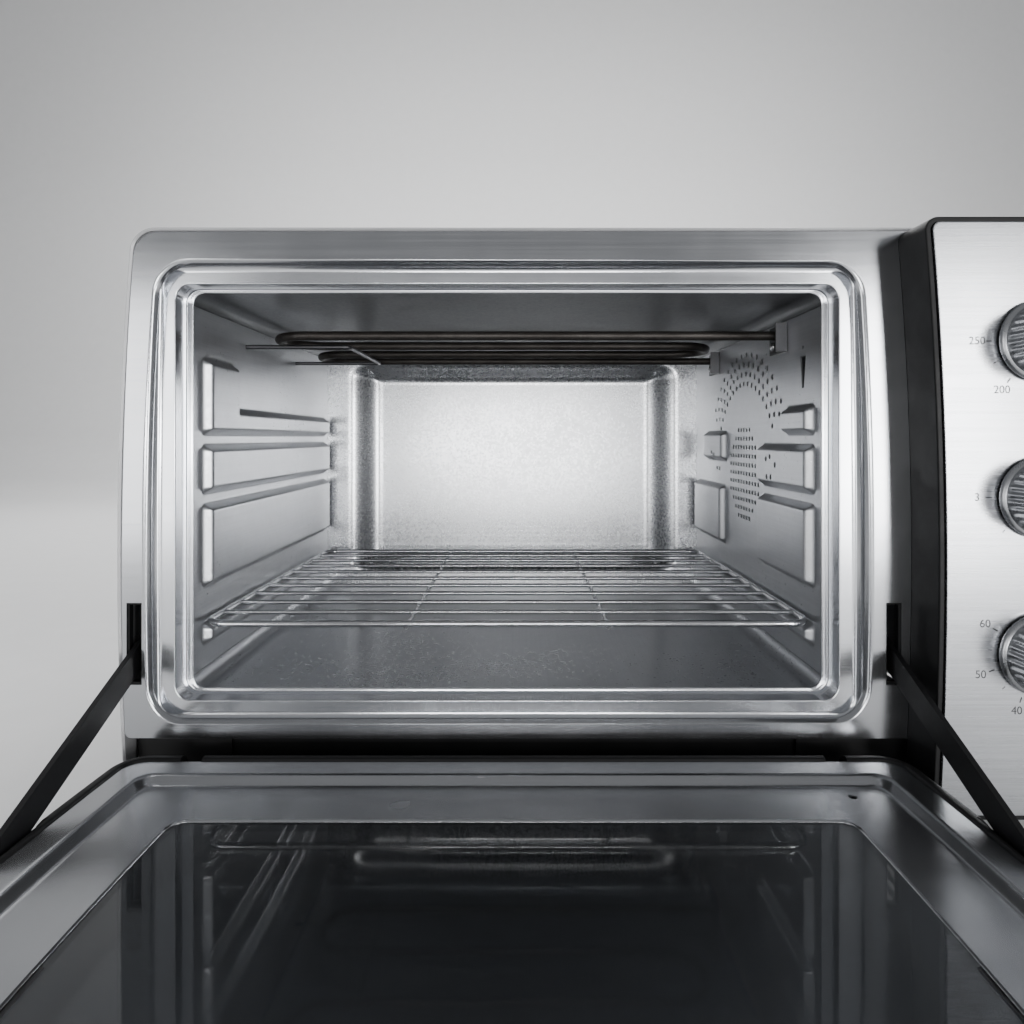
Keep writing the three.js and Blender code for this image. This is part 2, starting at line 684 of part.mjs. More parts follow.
// A closed solid between two rings.
function capped([lower, upper]) {
  const count = lower.length;
  const middle = (points) => points.reduce((sum, p) => sum.add(p), new THREE.Vector3()).divideScalar(count);
  const points = [...lower, ...upper, middle(lower), middle(upper)];
  const index = [];
  for (let i = 0; i < count; i++) {
    const j = (i + 1) % count;
    index.push(i, j, count + j, i, count + j, count + i);
    index.push(j, i, 2 * count, count + i, count + j, 2 * count + 1);
  }
  const geometry = new THREE.BufferGeometry();
  const position = new Float32Array(points.flatMap((p) => [p.x, p.y, p.z]));
  geometry.setAttribute("position", new THREE.BufferAttribute(position, 3));
  geometry.setIndex(index);
  if (signedVolume(geometry) < 0) {
    geometry.index.array.reverse();
  }
  return geometry;
}
add(oven, "cavity_back_wall", buildBackWall(), linerSteel);

// ---------------------------------------------------------------- heating elements
function serpentine(rows, leftX, rightX, exitX, z) {
  const path = new THREE.CurvePath();
  const radius = elementPitch / 2;
  const line = (x0, x1, y) => {
    path.add(new THREE.LineCurve3(new THREE.Vector3(x0, y, z), new THREE.Vector3(x1, y, z)));
  };
  const turn = (x, y, side) => {
    const reach = (side * radius * 4) / 3;
    path.add(
      new THREE.CubicBezierCurve3(
        new THREE.Vector3(x, y, z),
        new THREE.Vector3(x + reach, y, z),
        new THREE.Vector3(x + reach, y + elementPitch, z),
        new THREE.Vector3(x, y + elementPitch, z),
      ),
    );
  };
  line(exitX, leftX + radius, rows[0]);
  turn(leftX + radius, rows[0], -1);
  line(leftX + radius, rightX - radius, rows[1]);
  turn(rightX - radius, rows[1], 1);
  line(rightX - radius, leftX + radius, rows[2]);
  turn(leftX + radius, rows[2], -1);
  line(leftX + radius, exitX, rows[3]);
  return path;
}
const terminalX = cavityHalf + 26;
const elementEdges = [ELEMENT_LEFT - cavityHalf, cavityHalf - ELEMENT_RIGHT];
const upperPath = serpentine(elementRows, ...elementEdges, terminalX, elementZ);
add(oven, "upper_heating_element", tube(upperPath, TUBE_RADIUS, 8, 76), sheath);

// A wire loop from the left wall carries the serpentine.
function buildSupport() {
  const outX = -cavityHalf - 8;
  const inX = 76.5 - cavityHalf;
  const [y0, y1] = supportRows;
  return join(
    rod([outX, y0, supportZ], [inX + SUPPORT_RADIUS * 0.7, y0, supportZ], SUPPORT_RADIUS, 8),
    rod([inX, y0 - SUPPORT_RADIUS, supportZ], [inX, y1 + SUPPORT_RADIUS, supportZ], SUPPORT_RADIUS, 8),
    rod([inX + SUPPORT_RADIUS * 0.7, y1, supportZ], [outX, y1, supportZ], SUPPORT_RADIUS, 8),
  );
}
add(oven, "element_support_wire", buildSupport(), galvanised);

function buildBracket(y) {
  const x1 = cavityHalf - CLEARANCE;
  const x0 = x1 - 1.2;
  const plate = box([x0, x1], [y - 9, y + 22], [elementZ - 12, elementZ + 8]);
  const ear = box([x0 - 7, x0 + 0.5], [y - 9, y - 7.8], [elementZ - 12, elementZ + 8]);
  const bore = rod([x0 - 3, y, elementZ], [x1 + 1, y, elementZ], TUBE_RADIUS + CLEARANCE, 12);
  return cut(join(plate, ear), bore);
}
add(oven, "element_bracket_front", buildBracket(elementEnds[0]), galvanised);
add(oven, "element_bracket_rear", buildBracket(elementEnds[1]), galvanised);

// Domed screws hold the brackets and the element's rear support.
function buildScrew(y, z) {
  const x = cavityHalf - CLEARANCE - 1.2 - CLEARANCE;
  const profile = [[0, 0], [3.2, 0], [3.0, 1.1], [1.9, 1.9], [0, 2.2]];
  const lathe = new THREE.LatheGeometry(profile.map(([r, h]) => new THREE.Vector2(r, h)), 12);
  return lathe.rotateZ(Math.PI / 2).translate(x, y, z);
}
elementEnds.forEach((y, i) => {
  add(oven, `element_screw_${i + 1}`, buildScrew(y + 14, elementZ - 6), chrome);
});

// The lower element lies under the floor, clipped to it at the left.
const lowerZ = CAVITY_RISE - 16;
const lowerPath = serpentine(elementRows, ...elementEdges, terminalX, lowerZ);
add(oven, "lower_heating_element", tube(lowerPath, TUBE_RADIUS, 6, 60), sheath);
function buildLowerClip() {
  const x = [76 - cavityHalf, 88 - cavityHalf];
  const wide = [x[0] - 2, x[1] + 2];
  const [first, last] = elementEnds;
  const bar = box(x, [first - 12, last + 12], [lowerZ - 8, CAVITY_RISE - 0.5 - SHEET - CLEARANCE]);
  const bores = elementRows.map((y) =>
    rod([wide[0], y, lowerZ], [wide[1], y, lowerZ], TUBE_RADIUS + CLEARANCE, 12),
  );
  return cut(bar, ...bores, box(wide, [first - 8, last + 8], [lowerZ + 6, CAVITY_RISE - 4]));
}
add(oven, "lower_element_clip", buildLowerClip(), galvanised);

// ---------------------------------------------------------------- convection fan
const shroudX0 = cavityHalf + SHEET + CLEARANCE;
const shroudX1 = shroudX0 + SHROUD_DEPTH;
function buildShroud() {
  const half = fanReach + 4;
  const outer = box([shroudX0, shroudX1], [fanY - half, fanY + half], [fanZ - half, fanZ + half]);
  const t = SHEET;
  const hollow = box(
    [shroudX0 - 1, shroudX1 - t],
    [fanY - half + t, fanY + half - t],
    [fanZ - half + t, fanZ + half - t],
  );
  const bore = rod([shroudX1 - 3, fanY, fanZ], [shroudX1 + 1, fanY, fanZ], 4, 12);
  const passes = elementEnds.map((y) =>
    rod([shroudX0 - 1, y, elementZ], [shroudX1 + 1, y, elementZ], TUBE_RADIUS + 1, 12),
  );
  return cut(outer, hollow, bore, ...passes);
}
add(oven, "fan_shroud", buildShroud(), galvanised);

function buildMotor() {
  const x0 = shroudX1 + CLEARANCE;
  const can = rod([x0 + 6, fanY, fanZ], [x0 + 46, fanY, fanZ], 34, 28);
  const plate = box([x0, x0 + 6.5], [fanY - 42, fanY + 42], [fanZ - 22, fanZ + 22]);
  const bore = rod([x0 - 1, fanY, fanZ], [x0 + 30, fanY, fanZ], 2.5 + CLEARANCE, 12);
  return cut(join(can, plate), bore);
}
add(oven, "fan_motor", buildMotor(), galvanised);

const fanPlate = [shroudX0 + 17, shroudX0 + 18.2];
function buildImpeller() {
  const disc = rod([fanPlate[0], fanY, fanZ], [fanPlate[1], fanY, fanZ], FAN_RADIUS, 32);
  const blades = [];
  for (let i = 0; i < 10; i++) {
    const blade = box([fanPlate[0] - 12, fanPlate[0] + 0.4], [-0.6, 0.6], [28, FAN_RADIUS - 2]);
    blade.rotateX((i * Math.PI) / 5);
    blades.push(blade.translate(0, fanY, fanZ));
  }
  const hub = rod([fanPlate[0] - 7, fanY, fanZ], [fanPlate[1] + 3, fanY, fanZ], 8, 20);
  const bore = rod([fanPlate[0] - 9, fanY, fanZ], [fanPlate[1] + 5, fanY, fanZ], 2.5 + CLEARANCE, 12);
  return cut(join(disc, hub, ...blades), bore);
}
add(oven, "fan_impeller", buildImpeller(), aluminium);
add(
  oven,
  "fan_shaft",
  rod([fanPlate[0] - 6, fanY, fanZ], [shroudX1 + 28, fanY, fanZ], 2.5, 12),
  chrome,
);

// ---------------------------------------------------------------- control fascia
const fasciaEdge = {
  left: fasciaLeft,
  right: rightHalf,
  bottom: caseZ0,
  top: bodyHeight - DOOR_TOP_GAP,
  radius: 8,
};
// The fascia's left edge follows the door and its right edge the casing: both curve the same way.
function fasciaRing(inset, y) {
  const straight = ring(grow(fasciaEdge, -inset), y, 4, 8);
  return straight.map((p) => new THREE.Vector3(p.x + flare(p.z), p.y, p.z));
}
function buildBezel() {
  const back = -CLEARANCE;
  const front = -FASCIA_DEPTH + 2;
  return skin([
    fasciaRing(0, back),
    fasciaRing(0, front),
    fasciaRing(0.8, front - 1),
    fasciaRing(3, front - 1),
    fasciaRing(3, back),
  ]);
}
add(oven, "fascia_bezel", buildBezel(), blackPlastic);

const panelY = [-FASCIA_DEPTH - 0.5, -FASCIA_DEPTH + 1.5];
const lampZ = cavityZ - KNOB_PITCH - 44;
function buildFasciaPanel() {
  const inset = 3 + CLEARANCE;
  const stems = knobHeights.map((z) =>
    rod([knobX, panelY[0] - 1, z], [knobX, panelY[1] + 1, z], SHAFT_RADIUS + 1, 12),
  );
  const lamp = rod([knobX, panelY[0] - 1, lampZ], [knobX, panelY[1] + 1, lampZ], 4.5 + CLEARANCE, 12);
  return cut(capped([fasciaRing(inset, panelY[0]), fasciaRing(inset, panelY[1])]), lamp, ...stems);
}
add(oven, "fascia_panel", buildFasciaPanel(), brushedSteel);
add(
  oven,
  "pilot_lens",
  rod([knobX, panelY[0] - 1.2, lampZ], [knobX, panelY[1] + 6, lampZ], 4.5, 12),
  amber,
);

const controlNames = ["temperature", "function", "timer"];
const controlBodies = [
  [36, 26, 24],
  [30, 36, 20],
  [44, 44, 34],
];
controlNames.forEach((name, i) => {
  const z = knobHeights[i];
  const [width, height, depth] = controlBodies[i];
  const y0 = SHEET + CLEARANCE;
  const block = box([knobX - width / 2, knobX + width / 2], [y0, y0 + depth], [z - height / 2, z + height / 2]);
  const bush = rod([knobX, y0 + 1 - 6, z], [knobX, y0 + 1, z], SHAFT_RADIUS + 2.4, 12);
  const bore = rod([knobX, y0 - 7, z], [knobX, y0 + 10, z], SHAFT_RADIUS + CLEARANCE, 12);
  add(oven, `${name}_control`, cut(join(block, bush), bore), blackPlastic);
  const knobY0 = panelY[0] - 1;
  add(oven, `${name}_shaft`, rod([knobX, y0 + 9, z], [knobX, knobY0 - 14, z], SHAFT_RADIUS, 12), chrome);
  add(oven, `${name}_knob`, buildKnob(knobY0, z), brushedSteel);
});

function buildKnob(y, z) {
  const profile = [
    [0, 0],
    [KNOB_RADIUS + 1.5, 0],
    [KNOB_RADIUS + 1.5, 3],
    [KNOB_RADIUS - 1, 5],
    [KNOB_RADIUS - 2, KNOB_LENGTH - 2],
    [KNOB_RADIUS - 4, KNOB_LENGTH],
    [0, KNOB_LENGTH],
  ];
  const lathe = new THREE.LatheGeometry(profile.map(([r, h]) => new THREE.Vector2(r, h)), 24);
  lathe.rotateX(Math.PI).translate(knobX, y, z);
  const end = y - KNOB_LENGTH;
  const pointer = box([knobX - 2, knobX + 2], [end - 2.5, end + 4], [z, z + KNOB_RADIUS - 4]);
  const bore = rod([knobX, y - 15, z], [knobX, y + 1, z], SHAFT_RADIUS + CLEARANCE, 12);
  return cut(join(lathe, pointer), bore);
}

// ---------------------------------------------------------------- feet
const footPlaces = {
  foot_front_left: [-leftHalf + 42, 45],
  foot_front_right: [rightHalf - 42, 45],
  foot_rear_left: [-leftHalf + 42, bodyDepth - 45],
  foot_rear_right: [rightHalf - 42, bodyDepth - 45],
};
for (const [name, [x, y]] of Object.entries(footPlaces)) {
  const profile = [[0, 0], [15, 0], [16.5, 1.5], [19, FOOT_HEIGHT], [0, FOOT_HEIGHT]];
  const lathe = new THREE.LatheGeometry(profile.map(([r, h]) => new THREE.Vector2(r, h)), 12);
  add(oven, name, lathe.rotateX(Math.PI / 2).translate(x, y, 0), rubber);
}

// ---------------------------------------------------------------- hinges and arm guides
const pinRadius = 2.5;
const knuckleHalf = 3;
for (const [side, sign] of [["left", -1], ["right", 1]]) {
  const x = DOOR_OFFSET_X + sign * hingeX;
  const wide = [x - knuckleHalf, x + knuckleHalf];
  const knuckle = rod([wide[0], hingeY, hingeZ], [wide[1], hingeY, hingeZ], 7, 20);
  const web = box(wide, [hingeY, plinthY[0] - CLEARANCE], [hingeZ - 6, hingeZ - 0.6]);
  const padBack = plinthY[0] - CLEARANCE;
  const pad = box([x - 12, x + 12], [padBack - 2, padBack], [baseZ1, plinthTop - 2]);
  const bore = rod([wide[0] - 1, hingeY, hingeZ], [wide[1] + 1, hingeY, hingeZ], pinRadius + CLEARANCE, 12);
  add(oven, `hinge_bracket_${side}`, cut(join(knuckle, web, pad), bore), blackSteel);
  add(
    oven,
    `hinge_pin_${side}`,
    rod([x - 15, hingeY, hingeZ], [x + 15, hingeY, hingeZ], pinRadius, 12),
    chrome,
  );
  const armX = sign < 0 ? armLeftX : armRightX;
  const guideY = [SHEET + CLEARANCE, SHEET + CLEARANCE + 4];
  const block = slotTool(armX, SLOT_WIDTH + 3, guideY[0], guideY[1], 4);
  const opening = slotTool(armX, SLOT_WIDTH, guideY[0] - 1, guideY[1] + 1);
  add(oven, `arm_guide_${side}`, cut(block, opening), blackPlastic);
}

// ---------------------------------------------------------------- door
// The door is drawn closed, about its hinge axis, and hung in a group that is turned open.
const door = new THREE.Group();
door.position.set(0, hingeY, hingeZ);
door.rotation.x = Math.PI / 2;
oven.add(door);

const doorEdge = {
  left: DOOR_OFFSET_X - doorHalf,
  right: DOOR_OFFSET_X + doorHalf,
  bottom: -DOOR_BELOW_HINGE,
  top: doorTop,
  radius: DOOR_CORNER,
  curve: 1,
  fall: -hingeZ,
};
// A ring at a distance in from the door's edge, with corners that shrink to match.
function doorRing(inset, y) {
  return ring(grow(doorEdge, -inset, -inset, Math.max(DOOR_CORNER - inset, 8)), y);
}

const rim = 14; // black surround, measured in from the door's edge on its inner side
const glassInset = 24.5;
const sill = 36; // ledge that carries the outer glass

function buildDoorFrame() {
  const inner = DOOR_INNER_FACE;
  const outer = doorOuterFace;
  const shell = skin([
    doorRing(rim, inner - 2),
    doorRing(rim - 2, inner),
    doorRing(9, inner),
    doorRing(4.5, inner - 5),
    doorRing(0.6, inner - 14),
    doorRing(0, inner - 20),
    doorRing(2.8, outer + 1.5),
    doorRing(8, outer),
    doorRing(glassInset, outer),
    doorRing(glassInset, outer + GLASS + 0.5),
    doorRing(sill, outer + GLASS + 0.5),
    doorRing(sill, outer + GLASS + 3),
    doorRing(rim, outer + GLASS + 3),
  ]);
  const tools = [];
  for (const sign of [-1, 1]) {
    const hx = DOOR_OFFSET_X + sign * hingeX;
    tools.push(box([hx - 6, hx + 6], [outer - 1, inner + 1], [-DOOR_BELOW_HINGE - 1, 8.5]));
    tools.push(rod([hx - 16, 0, 0], [hx + 16, 0, 0], pinRadius + CLEARANCE, 16));
    const ax = DOOR_OFFSET_X + sign * armOffset;
    const notch = [ARM_REACH - 34, ARM_REACH + 12];
    tools.push(box([ax - 3.3, ax + 3.3], [ARM_PIVOT_HEIGHT - 10, inner + 1], notch));
    const pinEnds = [ax - sign * 6.5, ax + sign * 5];
    const at = [ARM_PIVOT_HEIGHT, ARM_REACH];
    tools.push(rod([pinEnds[0], ...at], [pinEnds[1], ...at], pinRadius + CLEARANCE, 16));
  }
  return cut(shell, ...tools);
}
add(door, "door_frame", buildDoorFrame(), blackPlastic);

function pane(inset, [y0, y1]) {
  return capped([doorRing(inset, y0), doorRing(inset, y1)]);
}
add(
  door,
  "door_outer_glass",
  pane(glassInset + CLEARANCE, [doorOuterFace + 0.2, doorOuterFace + 0.2 + GLASS]),
  darkGlass,
);

// The inner panel steps down once round the window.
const panelFace = DOOR_INNER_FACE - 1.4;
const fieldDrop = 4.2;
function buildInnerPanel() {
  const edge = rim + CLEARANCE;
  const line = edge + 14.5;
  const t = SHEET;
  const low = panelFace - fieldDrop;
  const panel = skin([
    doorRing(edge, panelFace),
    doorRing(line, panelFace),
    doorRing(line + 0.9, panelFace - 0.7),
    doorRing(line + 4.4, low + 0.6),
    doorRing(line + 5.2, low),
    doorRing(WINDOW_INSET, low),
    doorRing(WINDOW_INSET, low - t),
    doorRing(line + 5, low - t),
    doorRing(line + 3.6, low - 0.2),
    doorRing(line + 0.2, panelFace - 1.5),
    doorRing(line - 0.6, panelFace - t),
    doorRing(edge, panelFace - t),
  ]);
  const hole = [doorEdge.right - WINDOW_INSET + 11.8, doorEdge.bottom + edge + 30];
  return cut(panel, rod([hole[0], low - 3, hole[1]], [hole[0], panelFace + 3, hole[1]], 2.2, 16));
}
add(door, "door_inner_panel", buildInnerPanel(), brushedSteel);

const innerGlassY1 = panelFace - fieldDrop - SHEET - CLEARANCE;
const innerGlassInset = WINDOW_INSET - 9;
add(door, "door_inner_glass", pane(innerGlassInset, [innerGlassY1 - GLASS, innerGlassY1]), darkGlass);

// Spring clips press the inner glass to the panel.
const clipZ = (doorTop - DOOR_BELOW_HINGE) / 2;
for (const [side, sign] of [["left", -1], ["right", 1]]) {
  const edge = sign < 0 ? doorEdge.left + innerGlassInset : doorEdge.right - innerGlassInset;
  const outX = edge + sign * (14 + SIDE_SAG);
  const inX = edge - sign * 6;
  const stem = edge + sign * (4 + SIDE_SAG);
  const across = (a, b) => [Math.min(a, b), Math.max(a, b)];
  const z = [clipZ - 14, clipZ + 14];
  const under = innerGlassY1 - GLASS - CLEARANCE;
  const finger = box(across(inX, stem), [under - 1.2, under], z);
  const leg = box(across(stem - sign * 1.4, stem), [under - 1.2, innerGlassY1], z);
  const shoe = box(across(stem - sign * 1.4, outX), [innerGlassY1 - 1.2, innerGlassY1], z);
  add(door, `glass_clip_${side}`, join(finger, leg, shoe), galvanised);
}

// Handle: a flat oval bar between two posts near the top of the door.
const handleZ = doorTop - 34;
const handleOut = doorOuterFace - CLEARANCE - HANDLE_GAP - HANDLE_BAR / 2;
function ovalBar([x0, x1], depth, height) {
  const points = [];
  for (let i = 0; i < 20; i++) {
    const angle = (i / 20) * Math.PI * 2;
    const square = (v) => Math.sign(v) * Math.abs(v) ** 0.7;
    points.push([
      handleOut + (depth / 2) * square(Math.cos(angle)),
      handleZ + (height / 2) * square(Math.sin(angle)),
    ]);
  }
  return sidePlate(points, [x0, x1]);
}
const handleHalf = doorHalf - HANDLE_INSET;
const handleEnds = [DOOR_OFFSET_X - handleHalf, DOOR_OFFSET_X + handleHalf];
add(door, "handle_bar", ovalBar(handleEnds, HANDLE_BAR, HANDLE_TALL), brushedSteel);
for (const [side, sign] of [["left", -1], ["right", 1]]) {
  const x = DOOR_OFFSET_X + sign * (handleHalf + CLEARANCE);
  const reach = [x, x + sign * 14].sort((a, b) => a - b);
  const cap = ovalBar(reach, HANDLE_BAR + 0.8, HANDLE_TALL + 1.2);
  const post = box(reach, [handleOut, doorOuterFace - CLEARANCE], [handleZ - 8, handleZ + 8]);
  add(door, `handle_post_${side}`, join(cap, post), blackPlastic);
}

// ---------------------------------------------------------------- door stay arms
for (const [side, sign] of [["left", -1], ["right", 1]]) {
  const x = DOOR_OFFSET_X + sign * armOffset;
  const at = [ARM_PIVOT_HEIGHT, ARM_REACH];
  const ends = [x - sign * 5.6, x + sign * 4.7];
  add(door, `arm_pin_${side}`, rod([ends[0], ...at], [ends[1], ...at], pinRadius, 12), chrome);

  const half = ARM_WIDTH / 2;
  const outlinePoints = [];
  for (let i = 0; i <= 10; i++) {
    const angle = Math.PI / 2 + (i / 10) * Math.PI;
    outlinePoints.push([half * Math.cos(angle), half * Math.sin(angle)]);
  }
  outlinePoints.push([ARM_LENGTH - 22, -half]);
  outlinePoints.push([ARM_LENGTH - 22, -half + 5]);
  outlinePoints.push([ARM_LENGTH - 14, -half + 5]);
  outlinePoints.push([ARM_LENGTH - 14, -half]);
  outlinePoints.push([ARM_LENGTH - 4, -half]);
  outlinePoints.push([ARM_LENGTH, -half + 4]);
  outlinePoints.push([ARM_LENGTH, half - 4]);
  outlinePoints.push([ARM_LENGTH - 4, half]);
  const bar = sidePlate(outlinePoints, [-ARM_THICKNESS / 2, ARM_THICKNESS / 2]);
  const bore = rod([-3, 0, 0], [3, 0, 0], pinRadius + CLEARANCE, 12);
  const arm = add(oven, `door_arm_${side}`, cut(bar, bore), blackSteel);
  arm.position.set(x, hingeY - ARM_REACH, hingeZ + ARM_PIVOT_HEIGHT);
  arm.rotation.x = THREE.MathUtils.degToRad(ARM_SLOPE);
}

// ---------------------------------------------------------------- wire rack
const rackDepth = CAVITY_DEPTH - RACK_PLAY;
function buildRack() {
  const z = cavityZ + railTop + 1.4;
  const half = cavityHalf - 2 - RACK_WIRE;
  const y0 = lipY + 6;
  const y1 = y0 + rackDepth;
  const corner = 14;
  const rim = new THREE.CurvePath();
  const at = (x, y) => new THREE.Vector3(x, y, z);
  const bend = (from, over, to) => {
    rim.add(new THREE.QuadraticBezierCurve3(at(...from), at(...over), at(...to)));
  };
  const run = (from, to) => rim.add(new THREE.LineCurve3(at(...from), at(...to)));
  run([0, y0], [half - corner, y0]);
  bend([half - corner, y0], [half, y0], [half, y0 + corner]);
  run([half, y0 + corner], [half, y1 - corner]);
  bend([half, y1 - corner], [half, y1], [half - corner, y1]);
  run([half - corner, y1], [corner - half, y1]);
  bend([corner - half, y1], [-half, y1], [-half, y1 - corner]);
  run([-half, y1 - corner], [-half, y0 + corner]);
  bend([-half, y0 + corner], [-half, y0], [corner - half, y0]);
  run([corner - half, y0], [0, y0]);
  const loop = closedTube(rim, RACK_WIRE, 6, 52);
  const bars = [];
  const count = 10;
  for (let i = 1; i < count; i++) {
    const y = y0 + (rackDepth * i) / count;
    bars.push(rod([-half, y, z + 0.4], [half, y, z + 0.4], RACK_BAR, 6));
  }
  for (const x of [-half / 3, half / 3]) {
    bars.push(rod([x, y0, z - RACK_BAR - 0.6], [x, y1, z - RACK_BAR - 0.6], RACK_BAR, 6));
  }
  return join(loop, ...bars);
}

// A tube round a flat closed path.
function closedTube(path, radius, sides, steps) {
  const rings = [];
  const centres = path.getSpacedPoints(steps).slice(0, steps);
  centres.forEach((centre, i) => {
    const next = centres[(i + 1) % steps];
    const last = centres[(i + steps - 1) % steps];
    const along = next.clone().sub(last).normalize();
    const across = new THREE.Vector3(along.y, -along.x, 0);
    const points = [];
    for (let j = 0; j < sides; j++) {
      const angle = (j / sides) * Math.PI * 2;
      const point = centre.clone().addScaledVector(across, radius * Math.cos(angle));
      point.z += radius * Math.sin(angle);
      points.push(point);
    }
    rings.push(points);
  });
  return skin(rings);
}
add(oven, "wire_rack", buildRack(), chrome);

// ---------------------------------------------------------------- origin
oven.updateMatrixWorld(true);
const extent = new THREE.Box3().setFromObject(oven, true);
const middle = extent.getCenter(new THREE.Vector3());
oven.position.set(-middle.x, -middle.y, -extent.min.z);

export default oven;
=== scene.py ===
"""Looks of a countertop toaster oven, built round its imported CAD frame."""

import math

import bmesh
import bpy
from mathutils import Matrix, Vector


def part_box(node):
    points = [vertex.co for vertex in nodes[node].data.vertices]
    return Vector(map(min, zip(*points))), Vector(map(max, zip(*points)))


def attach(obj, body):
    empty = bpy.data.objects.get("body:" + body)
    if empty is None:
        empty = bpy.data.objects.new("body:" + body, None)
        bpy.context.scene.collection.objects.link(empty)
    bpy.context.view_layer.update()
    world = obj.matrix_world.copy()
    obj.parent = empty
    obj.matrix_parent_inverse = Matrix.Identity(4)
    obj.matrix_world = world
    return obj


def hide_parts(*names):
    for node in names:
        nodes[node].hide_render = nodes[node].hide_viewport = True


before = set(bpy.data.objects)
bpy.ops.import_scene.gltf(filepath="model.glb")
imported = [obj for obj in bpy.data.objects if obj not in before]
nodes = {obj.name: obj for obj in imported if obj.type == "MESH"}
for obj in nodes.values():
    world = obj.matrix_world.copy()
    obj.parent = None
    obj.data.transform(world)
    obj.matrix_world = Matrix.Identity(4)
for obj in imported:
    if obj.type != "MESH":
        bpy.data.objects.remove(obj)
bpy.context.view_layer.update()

# ---------------------------------------------------------------- places, in millimetres
# x = 0 is the middle of the cavity, y = 0 the flat of the front frame, z = 0 the counter.
back_lo, back_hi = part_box("cavity_back_wall")
frame_lo, frame_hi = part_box("front_frame")
MID_X = (back_lo[0] + back_hi[0]) * 500
FRONT_Y = frame_lo[1] * 1000
BODY_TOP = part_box("outer_casing")[1][2] * 1000
CASE_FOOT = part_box("outer_casing")[0][2] * 1000
BODY_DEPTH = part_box("outer_casing")[1][1] * 1000 - FRONT_Y
HALF = (back_hi[0] - back_lo[0]) * 500 - 1
LIP = 22
CAVITY_DEPTH = 300
RISE = 83
HEIGHT = 246
MIDDLE = RISE + HEIGHT / 2
LEFT_HALF, RIGHT_HALF = 228.3, 341
FRAME_BOTTOM = frame_lo[2] * 1000
FRAME_TOP = frame_hi[2] * 1000
DOOR_X, DOOR_HALF = 4.2, 230.5
HINGE_Y, HINGE_Z = -19.5, 40
DOOR_FACE = 18
DOOR_OUT = DOOR_FACE - 26
DOOR_TOP = BODY_TOP - 2.5 - HINGE_Z


def place(x, y, z):
    return Vector((x + MID_X, y + FRONT_Y, z)) / 1000


def on_door(x, y, z):
    """A point of the door drawn closed, about its hinge axis, hung open."""
    return place(x, HINGE_Y - z, HINGE_Z + y)


def flare(z):
    middle = (FRAME_BOTTOM + FRAME_TOP) / 2
    t = (z - middle) / ((FRAME_TOP - FRAME_BOTTOM) / 2)
    return 5 * (1 - t * t) - 5.9 * (t + 1) / 2


# ---------------------------------------------------------------- mesh tools
def to_object(name, verts, faces, material, body, smooth=True, merge=1e-6):
    mesh = bpy.data.meshes.new(name)
    mesh.from_pydata([tuple(v) for v in verts], [], faces)
    bm = bmesh.new()
    bm.from_mesh(mesh)
    bmesh.ops.remove_doubles(bm, verts=bm.verts, dist=merge)
    bmesh.ops.recalc_face_normals(bm, faces=bm.faces)
    bm.to_mesh(mesh)
    bm.free()
    if smooth:
        mesh.polygons.foreach_set("use_smooth", [True] * len(mesh.polygons))
    obj = bpy.data.objects.new(name, mesh)
    bpy.context.scene.collection.objects.link(obj)
    obj.data.materials.append(material)
    if body:
        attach(obj, body)
    return obj


def apply_modifiers(obj):
    graph = bpy.context.evaluated_depsgraph_get()
    mesh = bpy.data.meshes.new_from_object(obj.evaluated_get(graph))
    obj.modifiers.clear()
    old = obj.data
    obj.data = mesh
    bpy.data.meshes.remove(old)


def sharpen(obj, degrees):
    mesh = obj.data
    bm = bmesh.new()
    bm.from_mesh(mesh)
    limit = math.radians(degrees)
    for edge in bm.edges:
        if len(edge.link_faces) == 2:
            edge.smooth = edge.calc_face_angle(0) < limit
    bm.to_mesh(mesh)
    bm.free()


def level(obj, degrees):
    """Sharp edges past an angle; large flats keep flat normals and bends stay smooth."""
    sharpen(obj, degrees)
    obj.modifiers.new("weights", "WEIGHTED_NORMAL").keep_sharp = True


def cut(obj, verts_faces):
    """Cuts a closed tool mesh out of the object."""
    verts, faces = verts_faces
    tool = to_object("tool", verts, faces, obj.data.materials[0], None)
    boolean = obj.modifiers.new("cut", "BOOLEAN")
    boolean.operation = "DIFFERENCE"
    boolean.solver = "EXACT"
    boolean.object = tool
    apply_modifiers(obj)
    bpy.data.objects.remove(tool)


def ring(spec, arc=10, side=16):
    """A rectangle with round corners, as (x, z) pairs; its uprights follow the barrel curve.

    After left, right, bottom, top and radius come the share of the curve, its height shift and
    how much smaller the lower corners' radius is."""
    left, right, bottom, top, radius = spec[:5]
    curve = spec[5] if len(spec) > 5 else 0
    fall = spec[6] if len(spec) > 6 else 0
    low = max(0.5, radius - (spec[7] if len(spec) > 7 else 0))
    points = []

    def bend(x, z, sign):
        return (x + sign * curve * flare(z - fall), z)

    def corner(cx, cz, start, sign, r):
        for i in range(arc + 1):
            angle = start + i / arc * math.pi / 2
            points.append(bend(cx + r * math.cos(angle), cz + r * math.sin(angle), sign))

    def upright(x, z0, z1, sign):
        for i in range(1, side):
            points.append(bend(x, z0 + (z1 - z0) * i / side, sign))

    corner(right - low, bottom + low, -math.pi / 2, 1, low)
    upright(right, bottom + low, top - radius, 1)
    corner(right - radius, top - radius, 0, 1, radius)
    corner(left + radius, top - radius, math.pi / 2, -1, radius)
    upright(left, top - radius, bottom + low, -1)
    corner(left + low, bottom + low, math.pi, -1, low)
    return points


def grow(spec, dx, dz=None, radius=None):
    dz = dx if dz is None else dz
    radius = spec[4] + (dx + dz) / 2 if radius is None else radius
    return (spec[0] - dx, spec[1] + dx, spec[2] - dz, spec[3] + dz, radius, *spec[5:])


